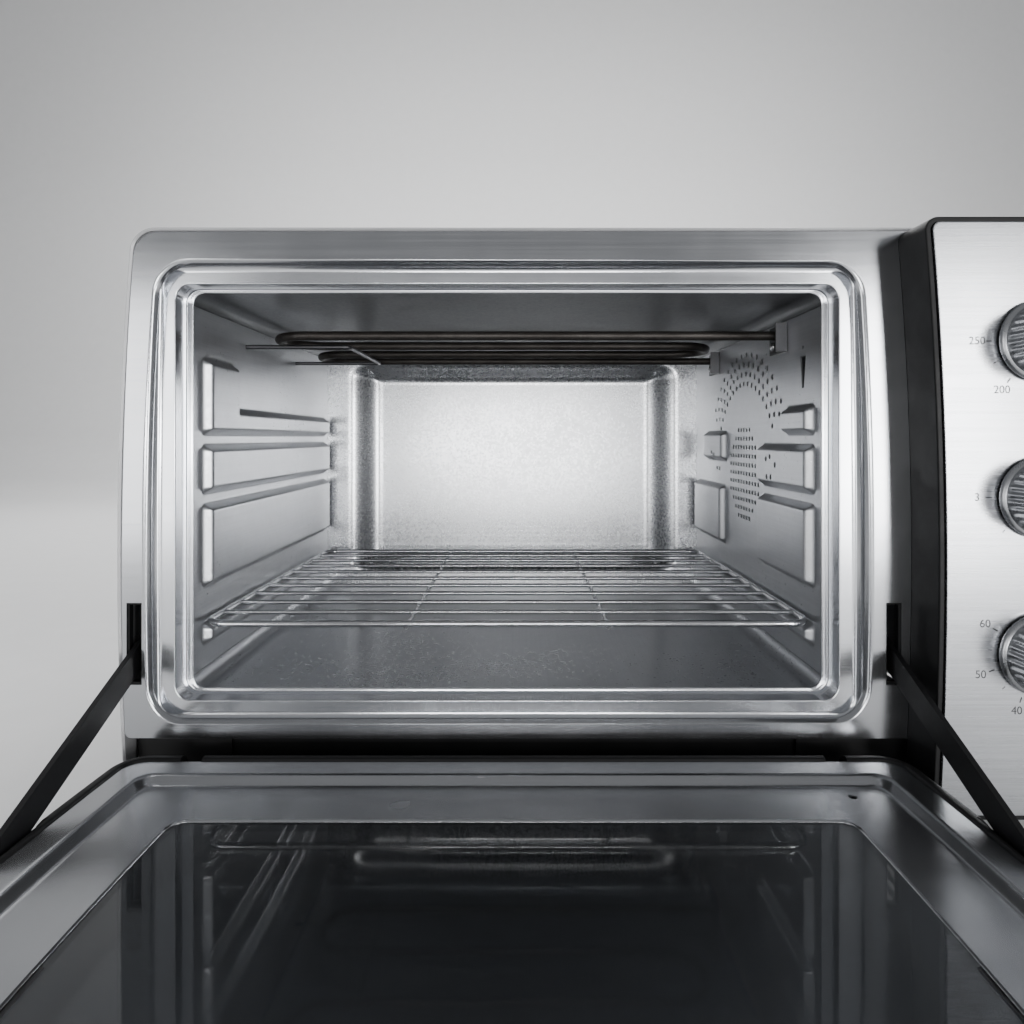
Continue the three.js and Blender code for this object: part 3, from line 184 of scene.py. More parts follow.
def profile_rings(stations, steps=5, point=place, closed=True, arc=10, side=16):
    """Rings at (spec, y, radius): each station's bend is rounded to its radius."""
    rings = [[Vector((x, y, z)) for x, z in ring(spec, arc, side)] for spec, y, _ in stations]
    radii = [r for _, _, r in stations]
    count = len(rings)
    out = []
    for i in range(count):
        before, here, after = rings[i - 1], rings[i], rings[(i + 1) % count]
        end = not closed and i in (0, count - 1)
        if radii[i] == 0 or end:
            out.append([point(*p) for p in here])
            continue
        for k in range(steps + 1):
            t = k / steps
            loop = []
            for a, b, c in zip(before, here, after):
                la, lc = (a - b).length, (c - b).length
                start = b + (a - b) * (min(radii[i], la * 0.48) / max(la, 1e-9))
                stop = b + (c - b) * (min(radii[i], lc * 0.48) / max(lc, 1e-9))
                p = start * (1 - t) ** 2 + b * (2 * t * (1 - t)) + stop * t * t
                loop.append(point(*p))
            out.append(loop)
    return out


def skin(rings, closed=True, caps=False):
    count = len(rings[0])
    verts = [p for loop in rings for p in loop]
    faces = []
    last = len(rings) if closed else len(rings) - 1
    for i in range(last):
        n = (i + 1) % len(rings)
        for j in range(count):
            k = (j + 1) % count
            faces.append((i * count + j, i * count + k, n * count + k, n * count + j))
    if caps:
        faces.append(tuple(reversed(range(count))))
        faces.append(tuple(range((len(rings) - 1) * count, len(rings) * count)))
    return verts, faces


def capped(rings):
    return skin(rings, closed=False, caps=True)


def block(x, y, z, point=place):
    verts = [point(a, b, c) for a in x for b in y for c in z]
    faces = [(0, 1, 3, 2), (4, 6, 7, 5), (0, 4, 5, 1), (2, 3, 7, 6), (0, 2, 6, 4), (1, 5, 7, 3)]
    return verts, faces


def tube(points, radius, sides=14, closed=False):
    """A round bar along a list of points in millimetres."""
    pts = [Vector(p) for p in points]
    count = len(pts)
    loops = []
    normal = None
    for i, p in enumerate(pts):
        if closed:
            along = (pts[(i + 1) % count] - pts[i - 1]).normalized()
        else:
            along = (pts[min(i + 1, count - 1)] - pts[max(i - 1, 0)]).normalized()
        if normal is None:
            normal = along.orthogonal().normalized()
        normal = (normal - along * normal.dot(along)).normalized()
        other = along.cross(normal)
        loop = []
        for k in range(sides):
            angle = k / sides * 2 * math.pi
            q = p + (normal * math.cos(angle) + other * math.sin(angle)) * radius
            loop.append(place(*q))
        loops.append(loop)
    return skin(loops, closed=closed, caps=not closed)


def merged(parts):
    verts, faces = [], []
    for v, f in parts:
        start = len(verts)
        verts.extend(v)
        faces.extend(tuple(i + start for i in face) for face in f)
    return verts, faces


def lathe(profile, centre, axis, sides=48, point=place, wave=None, closed=False):
    """Turns (radius, height) pairs about an axis through centre; a closed one is a ring."""
    axis = Vector(axis)
    u = Vector((0, 0, 1)) if abs(axis.z) < 0.5 else Vector((1, 0, 0))
    v = axis.cross(u)
    loops = []
    for r, h in profile:
        loop = []
        for k in range(sides):
            angle = k / sides * 2 * math.pi
            rr = r + (wave(r, h, angle) if wave else 0)
            p = Vector(centre) + axis * h + (u * math.cos(angle) + v * math.sin(angle)) * rr
            loop.append(point(*p))
        loops.append(loop)
    return skin(loops, closed=closed, caps=not closed)


def round_slot(low, high, middle, radius):
    """Outline of a slot with round ends, as (along, height) pairs."""
    loop = []
    for end, start in ((high - radius, -math.pi / 2), (low + radius, math.pi / 2)):
        for i in range(9):
            angle = start + i / 8 * math.pi
            loop.append((end + radius * math.cos(angle), middle + radius * math.sin(angle)))
    return loop


# ---------------------------------------------------------------- materials
class Nodes:
    """A short way to write node trees on the Principled shader."""

    def __init__(self, name, color, roughness, metallic=0.0, **extra):
        self.material = bpy.data.materials.new(name)
        self.material.use_nodes = True
        self.tree = self.material.node_tree
        self.shader = self.tree.nodes["Principled BSDF"]
        self.shader.inputs["Base Color"].default_value = (*color, 1)
        self.shader.inputs["Roughness"].default_value = roughness
        self.shader.inputs["Metallic"].default_value = metallic
        for key, value in extra.items():
            self.shader.inputs[key.replace("_", " ")].default_value = value
        self.place = self.add("ShaderNodeTexCoord").outputs["Object"]
        self.bumps = None

    def add(self, kind, **settings):
        node = self.tree.nodes.new(kind)
        for key, value in settings.items():
            setattr(node, key, value)
        return node

    def link(self, a, b):
        self.tree.links.new(a, b)

    def noise(self, scale, detail=3, rough=0.55, distortion=0.0):
        mapping = self.add("ShaderNodeMapping")
        mapping.inputs["Scale"].default_value = scale if isinstance(scale, tuple) else (scale,) * 3
        self.link(self.place, mapping.inputs["Vector"])
        node = self.add("ShaderNodeTexNoise")
        node.inputs["Scale"].default_value = 1
        node.inputs["Detail"].default_value = detail
        node.inputs["Roughness"].default_value = rough
        node.inputs["Distortion"].default_value = distortion
        self.link(mapping.outputs["Vector"], node.inputs["Vector"])
        return node.outputs["Fac"]

    def voronoi(self, scale):
        node = self.add("ShaderNodeTexVoronoi")
        node.inputs["Scale"].default_value = scale
        self.link(self.place, node.inputs["Vector"])
        return node.outputs["Color"]

    def span(self, fac, low, high, a=0.3, b=0.7):
        node = self.add("ShaderNodeMapRange")
        for key, value in (("From Min", a), ("From Max", b), ("To Min", low), ("To Max", high)):
            node.inputs[key].default_value = value
        self.link(fac, node.inputs["Value"])
        return node.outputs["Result"]

    def math(self, operation, a, b):
        node = self.add("ShaderNodeMath", operation=operation)
        for socket, value in zip(node.inputs, (a, b)):
            if isinstance(value, (int, float)):
                socket.default_value = value
            else:
                self.link(value, socket)
        return node.outputs[0]

    def mix(self, fac, a, b, blend="MIX"):
        node = self.add("ShaderNodeMix", data_type="RGBA", blend_type=blend)
        for key, value in ((6, a), (7, b)):
            if isinstance(value, tuple):
                node.inputs[key].default_value = (*value[:3], 1)
            else:
                self.link(value, node.inputs[key])
        if isinstance(fac, (int, float)):
            node.inputs[0].default_value = fac
        else:
            self.link(fac, node.inputs[0])
        return node.outputs[2]

    def color(self, socket):
        self.link(socket, self.shader.inputs["Base Color"])

    def roughness(self, socket):
        self.link(socket, self.shader.inputs["Roughness"])

    def bump(self, height, distance, strength=1.0):
        node = self.add("ShaderNodeBump")
        node.inputs["Distance"].default_value = distance
        node.inputs["Strength"].default_value = strength
        self.link(height, node.inputs["Height"])
        if self.bumps:
            self.link(self.bumps, node.inputs["Normal"])
        self.bumps = node.outputs["Normal"]
        self.link(self.bumps, self.shader.inputs["Normal"])

    def axis(self, which):
        node = self.add("ShaderNodeSeparateXYZ")
        self.link(self.place, node.inputs[0])
        return node.outputs[which]


def shade(color, factor):
    return tuple(min(1, c * factor) for c in color)


def brushed(
    name, color, roughness, grain=(22, 60, 2600), depth=0.000002, spread=0.02, contrast=0.045
):
    """Satin steel: fine lines one way, broad soft cloudiness, and faint streaks and haze in the
    roughness.
    """
    n = Nodes(name, color, roughness, 1.0)
    lines = n.noise(grain, 3, 0.6)
    coarse = n.noise(tuple(g / 4 for g in grain), 3, 0.6)
    cloud = n.noise(9, 3, 0.5)
    haze = n.noise(30, 2, 0.5)
    tone = n.mix(n.span(lines, 0, 1), shade(color, 1 - contrast), shade(color, 1 + contrast * 0.6))
    tone = n.mix(n.span(cloud, 0, 0.35), tone, shade(color, 0.9))
    n.color(tone)
    base = n.span(coarse, roughness - spread, roughness + spread)
    n.roughness(n.math("ADD", base, n.span(haze, -0.01, 0.02)))
    n.bump(lines, depth, 0.3)
    return n


def sheet_metal(name, color, roughness, spangle=True, metallic=1.0):
    """Coated or galvanised sheet: soft mottling, spangle, faint roll lines along the depth."""
    n = Nodes(name, color, roughness, metallic)
    cells = n.voronoi(150)
    grain = n.noise(420, 4, 0.65)
    roll = n.noise((900, 12, 900), 3, 0.6)
    cloud = n.noise(7, 4, 0.55, 0.3)
    tone = n.mix(n.span(roll, 0, 1), shade(color, 0.93), shade(color, 1.05))
    if spangle:
        tone = n.mix(0.22, tone, n.mix(cells, shade(color, 0.86), shade(color, 1.1)))
    tone = n.mix(n.span(cloud, 0, 0.4), tone, shade(color, 0.85))
    n.color(tone)
    base = n.span(grain, roughness - 0.05, roughness + 0.05)
    n.roughness(n.math("ADD", base, n.span(cloud, 0, 0.06)))
    n.bump(grain, 0.00001, 0.3)
    n.bump(cloud, 0.0004, 0.12)
    return n


def painted(name, color, roughness, peel=900, metallic=0.0, fleck=0.0, coat=0.0):
    n = Nodes(name, color, roughness, metallic, Coat_Weight=coat, Coat_Roughness=0.25)
    orange_peel = n.noise(peel, 2, 0.5)
    fine = n.noise(peel * 4, 3, 0.6)
    dust = n.noise(24, 5, 0.7)
    tone = n.mix(n.span(fine, 0, 1), shade(color, 1 - fleck - 0.04), shade(color, 1 + fleck + 0.05))
    tone = n.mix(n.span(dust, 0, 0.3), tone, shade(color, 1.12))
    n.color(tone)
    n.roughness(n.span(dust, roughness - 0.05, roughness + 0.08))
    n.bump(orange_peel, 0.00006, 0.35)
    n.bump(fine, 0.00001, 0.4)
    return n


def moulded(name, color, roughness, texture=2600):
    """Moulded plastic with a fine spark-eroded texture and light handling wear."""
    n = Nodes(name, color, roughness, 0.0, Specular_IOR_Level=0.25)
    grain = n.noise(texture, 2, 0.6)
    wear = n.noise(38, 6, 0.72, 0.4)
    tone = n.mix(n.span(wear, 0, 0.5, 0.45, 0.75), color, shade(color, 1.9))
    n.color(tone)
    n.roughness(n.span(wear, roughness - 0.06, roughness + 0.1))
    n.bump(grain, 0.00003, 0.5)
    return n


def polished(name, color, roughness):
    n = Nodes(name, color, roughness, 1.0)
    smear = n.noise(70, 4, 0.6, 0.5)
    fine = n.noise((1800, 1800, 1800), 2, 0.5)
    n.color(n.mix(n.span(smear, 0, 0.5), color, shade(color, 0.8)))
    n.roughness(n.span(smear, roughness - 0.04, roughness + 0.09))
    n.bump(fine, 0.000008, 0.5)
    return n


def tinted_glass(name, color):
    n = Nodes(name, color, 0.03, 0.0, Transmission_Weight=1.0, IOR=1.46)
    smudge = n.noise(16, 5, 0.65, 0.8)
    n.roughness(n.span(smudge, 0.015, 0.07, 0.4, 0.8))
    tone = n.mix(n.span(n.noise(5, 2), 0, 1), shade(color, 0.94), shade(color, 1.05))
    n.color(tone)
    n.bump(n.noise(11, 2), 0.0002, 0.05)
    return n


FRAME_STEEL = brushed("front frame steel", (0.5, 0.51, 0.53), 0.19)
tone = FRAME_STEEL.shader.inputs["Base Color"].links[0].from_socket
# Painted highlight: the pressing set back more than about 6 mm from its face (the recessed band and
# the lip) gets a base colour 1.55 times paler, standing in for the light it catches.
painted_band_highlight_mask = FRAME_STEEL.span(FRAME_STEEL.axis(1), 0, 1, (FRONT_Y + 4) / 1000, (FRONT_Y + 7.5) / 1000)
painted_band_highlight = FRAME_STEEL.mix(1.0, tone, (1.55, 1.55, 1.55), "MULTIPLY")  # painted highlight: the recessed band and lip get a paler base colour
FRAME_STEEL.color(FRAME_STEEL.mix(painted_band_highlight_mask, tone, painted_band_highlight))
PANEL_STEEL = brushed("door panel steel", (0.52, 0.53, 0.55), 0.24)
FASCIA_STEEL = brushed("fascia steel", (0.5, 0.51, 0.53), 0.27, (14, 2000, 2000), contrast=0.12)
HANDLE_STEEL = brushed("handle steel", (0.58, 0.59, 0.6), 0.24)
LINER = sheet_metal("cavity liner", (0.58, 0.59, 0.61), 0.3, metallic=0.9)
# The back, ceiling and floor are the side walls' aluminised sheet with light and shade painted into
# their tones: the back is lighter (painted light), the ceiling much darker and the floor a little
# darker (painted shade).
LINER_BACK_PAINTED_LIT = sheet_metal("cavity back painted lit", (0.66, 0.67, 0.69), 0.24)
LINER_CEILING_PAINTED_SHADE = sheet_metal("cavity ceiling painted shade", (0.2, 0.205, 0.21), 0.34)
LINER_FLOOR_PAINTED_SHADE = sheet_metal("cavity floor painted shade", (0.45, 0.46, 0.48), 0.28)
# Painted shade: galvanised steel darkened to a near-black tone, so the element brackets and support
# wire read dark up under the ceiling.
BRACKET_PAINTED_SHADE = sheet_metal("bracket steel painted shade", (0.11, 0.11, 0.115), 0.36)
GALVANISED = sheet_metal("galvanised sheet", (0.42, 0.43, 0.45), 0.42)
CASING = painted("casing paint", (0.5, 0.5, 0.51), 0.38, 1000, 0.35, 0.02, 0.15)
BLACK_STEEL = painted("black enamel", (0.006, 0.006, 0.0065), 0.42, 1300, 0.0, 0.1)
BLACK_STEEL.shader.inputs["Specular IOR Level"].default_value = 0.32
BLACK_PLASTIC = moulded("black plastic", (0.006, 0.006, 0.0065), 0.48)
SOCKET_PLASTIC = moulded("control housing", (0.02, 0.02, 0.021), 0.55, 1500)
RUBBER = moulded("foot rubber", (0.016, 0.016, 0.016), 0.72, 1400)
CHROME = polished("rack chrome", (0.72, 0.73, 0.75), 0.14)
SCREW = polished("plated screws", (0.62, 0.62, 0.62), 0.2)
KNOB = polished("knob lacquer", (0.5, 0.51, 0.53), 0.26)
ALUMINIUM = brushed("impeller", (0.55, 0.55, 0.57), 0.36, (600, 600, 40))
OUTER_GLASS = tinted_glass("outer glass", (0.34, 0.35, 0.37))
INNER_GLASS = tinted_glass("inner glass", (0.62, 0.64, 0.66))
PRINT = painted("printed marks", (0.03, 0.03, 0.032), 0.5, 1500)


def oxidised():
    """Heater sheath: dark brown-grey oxide with paler rubbed patches."""
    n = Nodes("heater sheath", (0.04, 0.037, 0.034), 0.42, 0.75)
    patch = n.noise((40, 120, 120), 5, 0.7, 0.4)
    fine = n.noise(1100, 4, 0.65)
    tone = n.mix(n.span(patch, 0, 1), (0.034, 0.029, 0.026), (0.085, 0.078, 0.072))
    tone = n.mix(n.span(fine, 0, 0.4), tone, (0.02, 0.018, 0.017))
    n.color(tone)
    n.roughness(n.span(fine, 0.34, 0.55))
    n.bump(fine, 0.00004, 0.5)
    return n


SHEATH = oxidised()


def lens():
    n = Nodes("amber lens", (0.75, 0.22, 0.03), 0.12, 0.0, Transmission_Weight=0.6, IOR=1.49)
    ribs = n.noise((700, 700, 40), 2)
    n.color(n.mix(n.span(ribs, 0, 1), (0.7, 0.16, 0.02), (0.9, 0.33, 0.05)))
    n.bump(ribs, 0.0001, 0.4)
    return n


LENS = lens()


def finish_node(names, nodes_material, bevel=0.0004):
    """Carried-over CAD nodes get a material, soft edges and level flats."""
    for name in names:
        obj = nodes[name]
        obj.data.materials.clear()
        obj.data.materials.append(nodes_material.material)
        obj.data.polygons.foreach_set("use_smooth", [True] * len(obj.data.polygons))
        if bevel:
            soft = obj.modifiers.new("edges", "BEVEL")
            soft.width = bevel
            soft.segments = 2
            soft.limit_method = "ANGLE"
            soft.angle_limit = math.radians(35)
            soft.harden_normals = True


finish_node(["base_pan", "fan_shroud", "fan_motor", "lower_element_clip"], GALVANISED, 0.0003)
finish_node(["glass_clip_left", "glass_clip_right"], GALVANISED, 0.0002)
finish_node(["lower_plinth", "hinge_bracket_left", "hinge_bracket_right"], BLACK_STEEL, 0.0004)
finish_node(["arm_guide_left", "arm_guide_right"], BLACK_PLASTIC, 0.0004)
finish_node(["temperature_control", "function_control", "timer_control"], SOCKET_PLASTIC, 0.0005)
finish_node(["temperature_shaft", "function_shaft", "timer_shaft", "fan_shaft"], SCREW, 0.0002)
finish_node(["hinge_pin_left", "hinge_pin_right", "arm_pin_left", "arm_pin_right"], SCREW, 0.0003)
finish_node(["fan_impeller"], ALUMINIUM, 0.0002)
finish_node(["element_bracket_front", "element_bracket_rear"], BRACKET_PAINTED_SHADE, 0.0002)

# ---------------------------------------------------------------- front frame
mouth = (-HALF, HALF, RISE, RISE + HEIGHT, 7.5)
groove = (-HALF - 15.5, HALF + 16.9, RISE - 13, RISE + HEIGHT + 14.3, 21, 0.9)
edge = (-(LEFT_HALF - 2.3), RIGHT_HALF - 2.3, FRAME_BOTTOM, FRAME_TOP, 12.7, 1, 0, 9.7)
band_out = (*grow(mouth, 13.8, 11.8, 12), 0.3)
band_in = grow(mouth, 4, 2.4, 9.5)

stations = [
    (edge, 10, 0),
    (edge, 0.0, 1.4),
    (groove, 0, 2.4),
    (grow(groove, -2.2), 3.2, 1.0),
    (grow(band_out, 1.4), 5.4, 1.0),
    (grow(band_out, -0.8), 8, 2.2),
    (band_in, 8, 0.9),
    (grow(band_in, -0.3), LIP - 0.2, 0.8),
    (grow(mouth, 1.2, 1.0), LIP, 0.8),
    (mouth, LIP + 0.4, 0.4),
    (mouth, LIP + 1, 0),
    (grow(band_in, 0.6), LIP + 1, 0),
    (grow(band_in, 0.7), 9.2, 0),
    (grow(band_out, -0.4), 9.2, 0),
    (grow(groove, 0.7), 1.1, 0),
    (grow(edge, -1.1), 1.1, 0),
    (grow(edge, -1.1), 10, 0),
]
verts, faces = skin(profile_rings(stations, 6, arc=14, side=20))
front = to_object("frame_pressing", verts, faces, FRAME_STEEL.material, "oven")
ARM_OFFSET = 224.5
ARM_X = (DOOR_X - ARM_OFFSET, DOOR_X + ARM_OFFSET)
for x in ARM_X:
    cut(front, block((x - 4.5, x + 4.5), (-3, 6), (MIDDLE - 113.2, MIDDLE - 64.8)))
KNOB_X = 292
KNOB_PITCH = 86
KNOB_Z = (MIDDLE + KNOB_PITCH, MIDDLE, MIDDLE - KNOB_PITCH)
for z in KNOB_Z:
    cut(front, lathe([(6, -4), (6, 6)], (KNOB_X, 0, z), (0, 1, 0), 32))
level(front, 50)
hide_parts("front_frame")


# ---------------------------------------------------------------- cavity liner
def lines_for(edges, low, high, reach=8, fine=0.8, coarse=7.0):
    """Grid lines, close together round each edge of a pressing."""
    marks = {low, high}
    count = max(1, round((high - low) / coarse))
    marks.update(low + (high - low) * i / count for i in range(count + 1))
    for e in edges:
        steps = round(reach / fine)
        for i in range(-steps, steps + 1):
            marks.add(e + i * fine)
    ordered = sorted(m for m in marks if low <= m <= high)
    out = [ordered[0]]
    for m in ordered[1:]:
        if m - out[-1] > 0.3:
            out.append(m)
    if out[-1] < high:
        out[-1] = high
    return out


def eased(t):
    t = max(0.0, min(1.0, t))
    return t * t * (3 - 2 * t)


def pressed(u, v, rect, run, radius):
    """Share of full height at a point of a pressing with sloping sides and round corners."""
    cu, cv = (rect[0] + rect[1]) / 2, (rect[2] + rect[3]) / 2
    hu, hv = (rect[1] - rect[0]) / 2 - radius, (rect[3] - rect[2]) / 2 - radius
    du, dv = abs(u - cu) - hu, abs(v - cv) - hv
    outside = math.hypot(max(du, 0), max(dv, 0)) + min(max(du, dv), 0) - radius
    return eased(-outside / run)


# Each boss: where it starts and ends behind the lip, then its heights from the cavity's middle.
LEFT_BOSSES = [
    (11, 62, 34, 85),
    (11, 291, 34, 54),
    (11, 291, -4, 29),
    (11, 291, -64, -9),
    (11, 291, -101, -86),
]
RIGHT_BOSSES = [
    (9, 57, 34, 55),
    (9, 104, -4, 29),
    (192, 258, 11, 40),
    (9, 104, -64, -9),
    (196, 291, -64, -9),
    (9, 291, -101, -86),
]
LINER_Y = (LIP + 1.3, LIP + CAVITY_DEPTH - 0.3)
LINER_BEND = 9
WALL_EDGE = HEIGHT / 2 + 0.5 - LINER_BEND + 1 - 0.3
BOSS_PROUD = 5.95


def slab(rows, cols, point, sheet, flip=False):
    """A closed sheet over a grid; point(row, column, layer) says where each corner goes."""
    high, wide = len(rows), len(cols)
    verts = [point(r, c, layer) for layer in (0.0, sheet) for r in rows for c in cols]
    faces = []
    for layer in range(2):
        for i in range(high - 1):
            for j in range(wide - 1):
                a = (layer * high + i) * wide + j
                face = (a, a + 1, a + wide + 1, a + wide)
                faces.append(face if layer == flip else face[::-1])
    rim = list(range(wide))
    rim += [i * wide + wide - 1 for i in range(1, high)]
    rim += [(high - 1) * wide + j for j in range(wide - 2, -1, -1)]
    rim += [i * wide for i in range(high - 2, 0, -1)]
    top = high * wide
    for a, b in zip(rim, rim[1:] + rim[:1]):
        face = (a, top + a, top + b, b)
        faces.append(face[::-1] if flip else face)
    return verts, faces


def wall(name, side, bosses):
    ys = lines_for([LIP + e for b in bosses for e in (b[0] + 3, b[1] - 3)], *LINER_Y)
    heights = [MIDDLE + e for b in bosses for e in b[2:]]
    zs = lines_for(heights, MIDDLE - WALL_EDGE, MIDDLE + WALL_EDGE, 6)

    def height(y, z):
        u, v = y - LIP, z - MIDDLE
        best = 0.0
        for b in bosses:
            run = min(5.6, (b[3] - b[2]) / 2 - 0.8)
            best = max(best, pressed(u, v, b, run, min(5.0, (b[3] - b[2]) / 2 - 0.2)))
        return best * BOSS_PROUD

    def point(z, y, layer):
        return place(side * (HALF - height(y, z) + layer), y, z)

    return to_object(name, *slab(zs, ys, point, 1.0), LINER.material, "oven")


left_wall = wall("left_liner", -1, LEFT_BOSSES)
right_wall = wall("right_liner", 1, RIGHT_BOSSES)

ELEMENT_Z = MIDDLE + HEIGHT / 2 - 17.3
ELEMENT_PITCH = 54.3
ELEMENT_ROWS = [LIP + 63 + i * ELEMENT_PITCH for i in range(4)]
WIRE = 1.58
SUPPORT_Z = ELEMENT_Z - 3.3 - 1.6 - 0.3
SUPPORT_ROWS = (LIP + 84, LIP + 197)
FAN_Y, FAN_Z = LIP + 148, MIDDLE + 3


def hole(side, y, z, radius, sides=14):
    return lathe([(radius, -12), (radius, 4)], (side * HALF, y, z), (side, 0, 0), sides)


def fan_places():
    places = []
    for row, radius in enumerate((75, 83, 91, 99)):
        for i in range(17 - row % 2):
            angle = math.radians(31 + (i + (row % 2) / 2) * 118 / 16)
            places.append((radius * math.cos(angle), radius * math.sin(angle)))
    for row, count in enumerate((5, 7, 9, 11, 11, 11, 11, 11, 9, 7, 5)):
        for i in range(count):
            places.append(((i - (count - 1) / 2) * 6.9, (row - 5) * 7.3))
    for side in (-1, 1):
        for radius, degrees in ((69, 1), (77, 1), (69, 12), (77, 12), (86, 7)):
            angle = math.radians(degrees)
            places.append((side * radius * math.cos(angle), radius * math.sin(angle)))
    return places


cut(left_wall, merged([hole(-1, y, SUPPORT_Z, 1.9) for y in SUPPORT_ROWS]))
perforation = [hole(1, FAN_Y + dy, FAN_Z + dz, 2.0) for dy, dz in fan_places()]
peg_y, peg_z = LIP + 28.5, MIDDLE + 66
wedge = [(-1.4, 0), (1.4, 0), (4.5, 21), (-4.5, 21)]
wedge_rings = [[place(x, peg_y + y, peg_z + z) for y, z in wedge] for x in (HALF - 3, HALF + 3)]
wedge_tool = capped(wedge_rings)
cut(
    right_wall,
    merged(
        perforation
        + [wedge_tool, hole(1, peg_y, peg_z + 27, 1.2)]
        + [hole(1, y, ELEMENT_Z, 3.6, 24) for y in (ELEMENT_ROWS[0], ELEMENT_ROWS[3])]
    ),
)
for obj, name in ((left_wall, "cavity_left_wall"), (right_wall, "cavity_right_wall")):
    level(obj, 35)
    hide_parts(name)


def liner_sheet(name, sign, node, look):
    """Ceiling or floor, bent along both long edges."""
    z0 = MIDDLE + sign * (HEIGHT / 2 + 0.5)
    outline = []
    for layer in (0.0, 1.0):
        line = []
        r = LINER_BEND - layer
        half = HALF - layer + 1
        z = z0 + sign * (1 - layer)
        for side in (-1, 1):
            for i in range(13):
                step = i if side < 0 else 12 - i
                angle = step / 12 * math.pi / 2
                across = half - r + r * math.cos(angle)
                line.append((side * across, z - sign * (r - r * math.sin(angle))))
        outline.append(line)
    loop = outline[0] + outline[1][::-1]
    rings = [[place(x, y, z) for x, z in loop] for y in LINER_Y]
    verts, faces = capped(rings)
    obj = to_object(name, verts, faces, look.material, "oven")
    level(obj, 35)
    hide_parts(node)
    return obj


liner_sheet("ceiling_liner", 1, "cavity_ceiling", LINER_CEILING_PAINTED_SHADE)
liner_sheet("floor_liner", -1, "cavity_floor", LINER_FLOOR_PAINTED_SHADE)


def back_wall():
    """A pressed recess whose side slopes are longer than its top and bottom ones."""
    half = HALF + 1
    edge_z = HEIGHT / 2 + 1.5
    us = lines_for([], -half, half, coarse=2.5)
    vs = lines_for([], -edge_z, edge_z, coarse=2.5)
    slope, side_slope = 20, 32.5
    squeeze = slope / side_slope
    recess = (-174 * squeeze, 176 * squeeze, -110, 113)

    def point(v, u, layer):
        depth = 18 * pressed(u * squeeze, v, recess, slope, 16)
        return place(u, LIP + CAVITY_DEPTH + depth + layer, MIDDLE + v)

    verts, faces = slab(vs, us, point, 0.98, flip=True)
    obj = to_object("back_liner", verts, faces, LINER_BACK_PAINTED_LIT.material, "oven")
    level(obj, 50)
    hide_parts("cavity_back_wall")


back_wall()


# ---------------------------------------------------------------- heating elements
def serpentine(z):
    path = []
    turn = ELEMENT_PITCH / 2
    left, right, out = -172 + turn, 162 - turn, HALF + 26

    def line(x0, x1, y):
        count = max(2, int(abs(x1 - x0) / 12))
        path.extend((x0 + (x1 - x0) * i / count, y, z) for i in range(count + 1))

    def bend(x, y, side):
        for i in range(1, 18):
            angle = i / 18 * math.pi
            path.append((x + side * turn * math.sin(angle), y + turn - turn * math.cos(angle), z))

    line(out, left, ELEMENT_ROWS[0])
    bend(left, ELEMENT_ROWS[0], -1)
    line(left, right, ELEMENT_ROWS[1])
    bend(right, ELEMENT_ROWS[1], 1)
    line(right, left, ELEMENT_ROWS[2])
    bend(left, ELEMENT_ROWS[2], -1)
    line(left, out, ELEMENT_ROWS[3])
    return path


for z, node, sides in (
    (ELEMENT_Z, "upper_heating_element", 20),
    (RISE - 16, "lower_heating_element", 12),
):
    verts, faces = tube(serpentine(z), 3.28, sides)
    name = node.replace("heating_element", "sheath")
    element = to_object(name, verts, faces, SHEATH.material, "oven")
    sharpen(element, 50)
    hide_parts(node)


def rounded_path(corners, radius, steps=8):
    """A path through corner points with each inner corner turned on a radius."""
    pts = [Vector(c) for c in corners]
    out = [pts[0]]
    for a, b, c in zip(pts, pts[1:], pts[2:]):
        start = b + (a - b).normalized() * radius
        stop = b + (c - b).normalized() * radius
        for i in range(steps + 1):
            t = i / steps
            out.append(start * (1 - t) ** 2 + b * (2 * t * (1 - t)) + stop * t * t)
    out.append(pts[-1])
    return out


wire_ends = [
    (-HALF - 8, SUPPORT_ROWS[0], SUPPORT_Z),
    (-119.5, SUPPORT_ROWS[0], SUPPORT_Z),
    (-119.5, SUPPORT_ROWS[1], SUPPORT_Z),
    (-HALF - 8, SUPPORT_ROWS[1], SUPPORT_Z),
]
verts, faces = tube(rounded_path(wire_ends, 4), WIRE)
support = to_object("support_wire", verts, faces, BRACKET_PAINTED_SHADE.material, "oven")
sharpen(support, 50)
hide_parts("element_support_wire")


def dome_screw(name, centre, axis, radius, height, material, body, node=None, point=place):
    """A domed head with a cross recess."""
    profile = [(0.01, 0), (radius, 0), (radius, height * 0.28)]
    profile += [
        (radius * math.cos(a), height * (0.28 + 0.72 * math.sin(a)))
        for a in (0.25, 0.5, 0.75, 1.0, 1.25, 1.5)
    ]
    verts, faces = lathe(profile, centre, axis, 28, point)
    obj = to_object(name, verts, faces, material, body)
    axis_v = Vector(axis)
    u = Vector((0, 0, 1)) if abs(axis_v.z) < 0.5 else Vector((1, 0, 0))
    v = axis_v.cross(u)
    for along, across in ((u, v), (v, u)):

        def local(a, b, h):
            return point(*(Vector(centre) + along * a + across * b + axis_v * h))

        length, width = 0.55 * radius, 0.13 * radius
        recess = block((-length, length), (-width, width), (height * 0.55, height * 1.5), local)
        cut(obj, recess)
    sharpen(obj, 40)
    if node:
        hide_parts(node)
    return obj


for i, y in enumerate((ELEMENT_ROWS[0], ELEMENT_ROWS[3])):
    centre = (HALF - 1.8, y + 14, ELEMENT_Z - 6)
    name, node = f"bracket_screw_{i + 1}", f"element_screw_{i + 1}"
    dome_screw(name, centre, (-1, 0, 0), 3.2, 2.2, SCREW.material, "oven", node)

# ---------------------------------------------------------------- wire rack
RACK_Z = MIDDLE - 84.6
RACK_DEPTH = 276
rack_half = HALF - 2 - 2.2
rack_y = (LIP + 6, LIP + 6 + RACK_DEPTH)


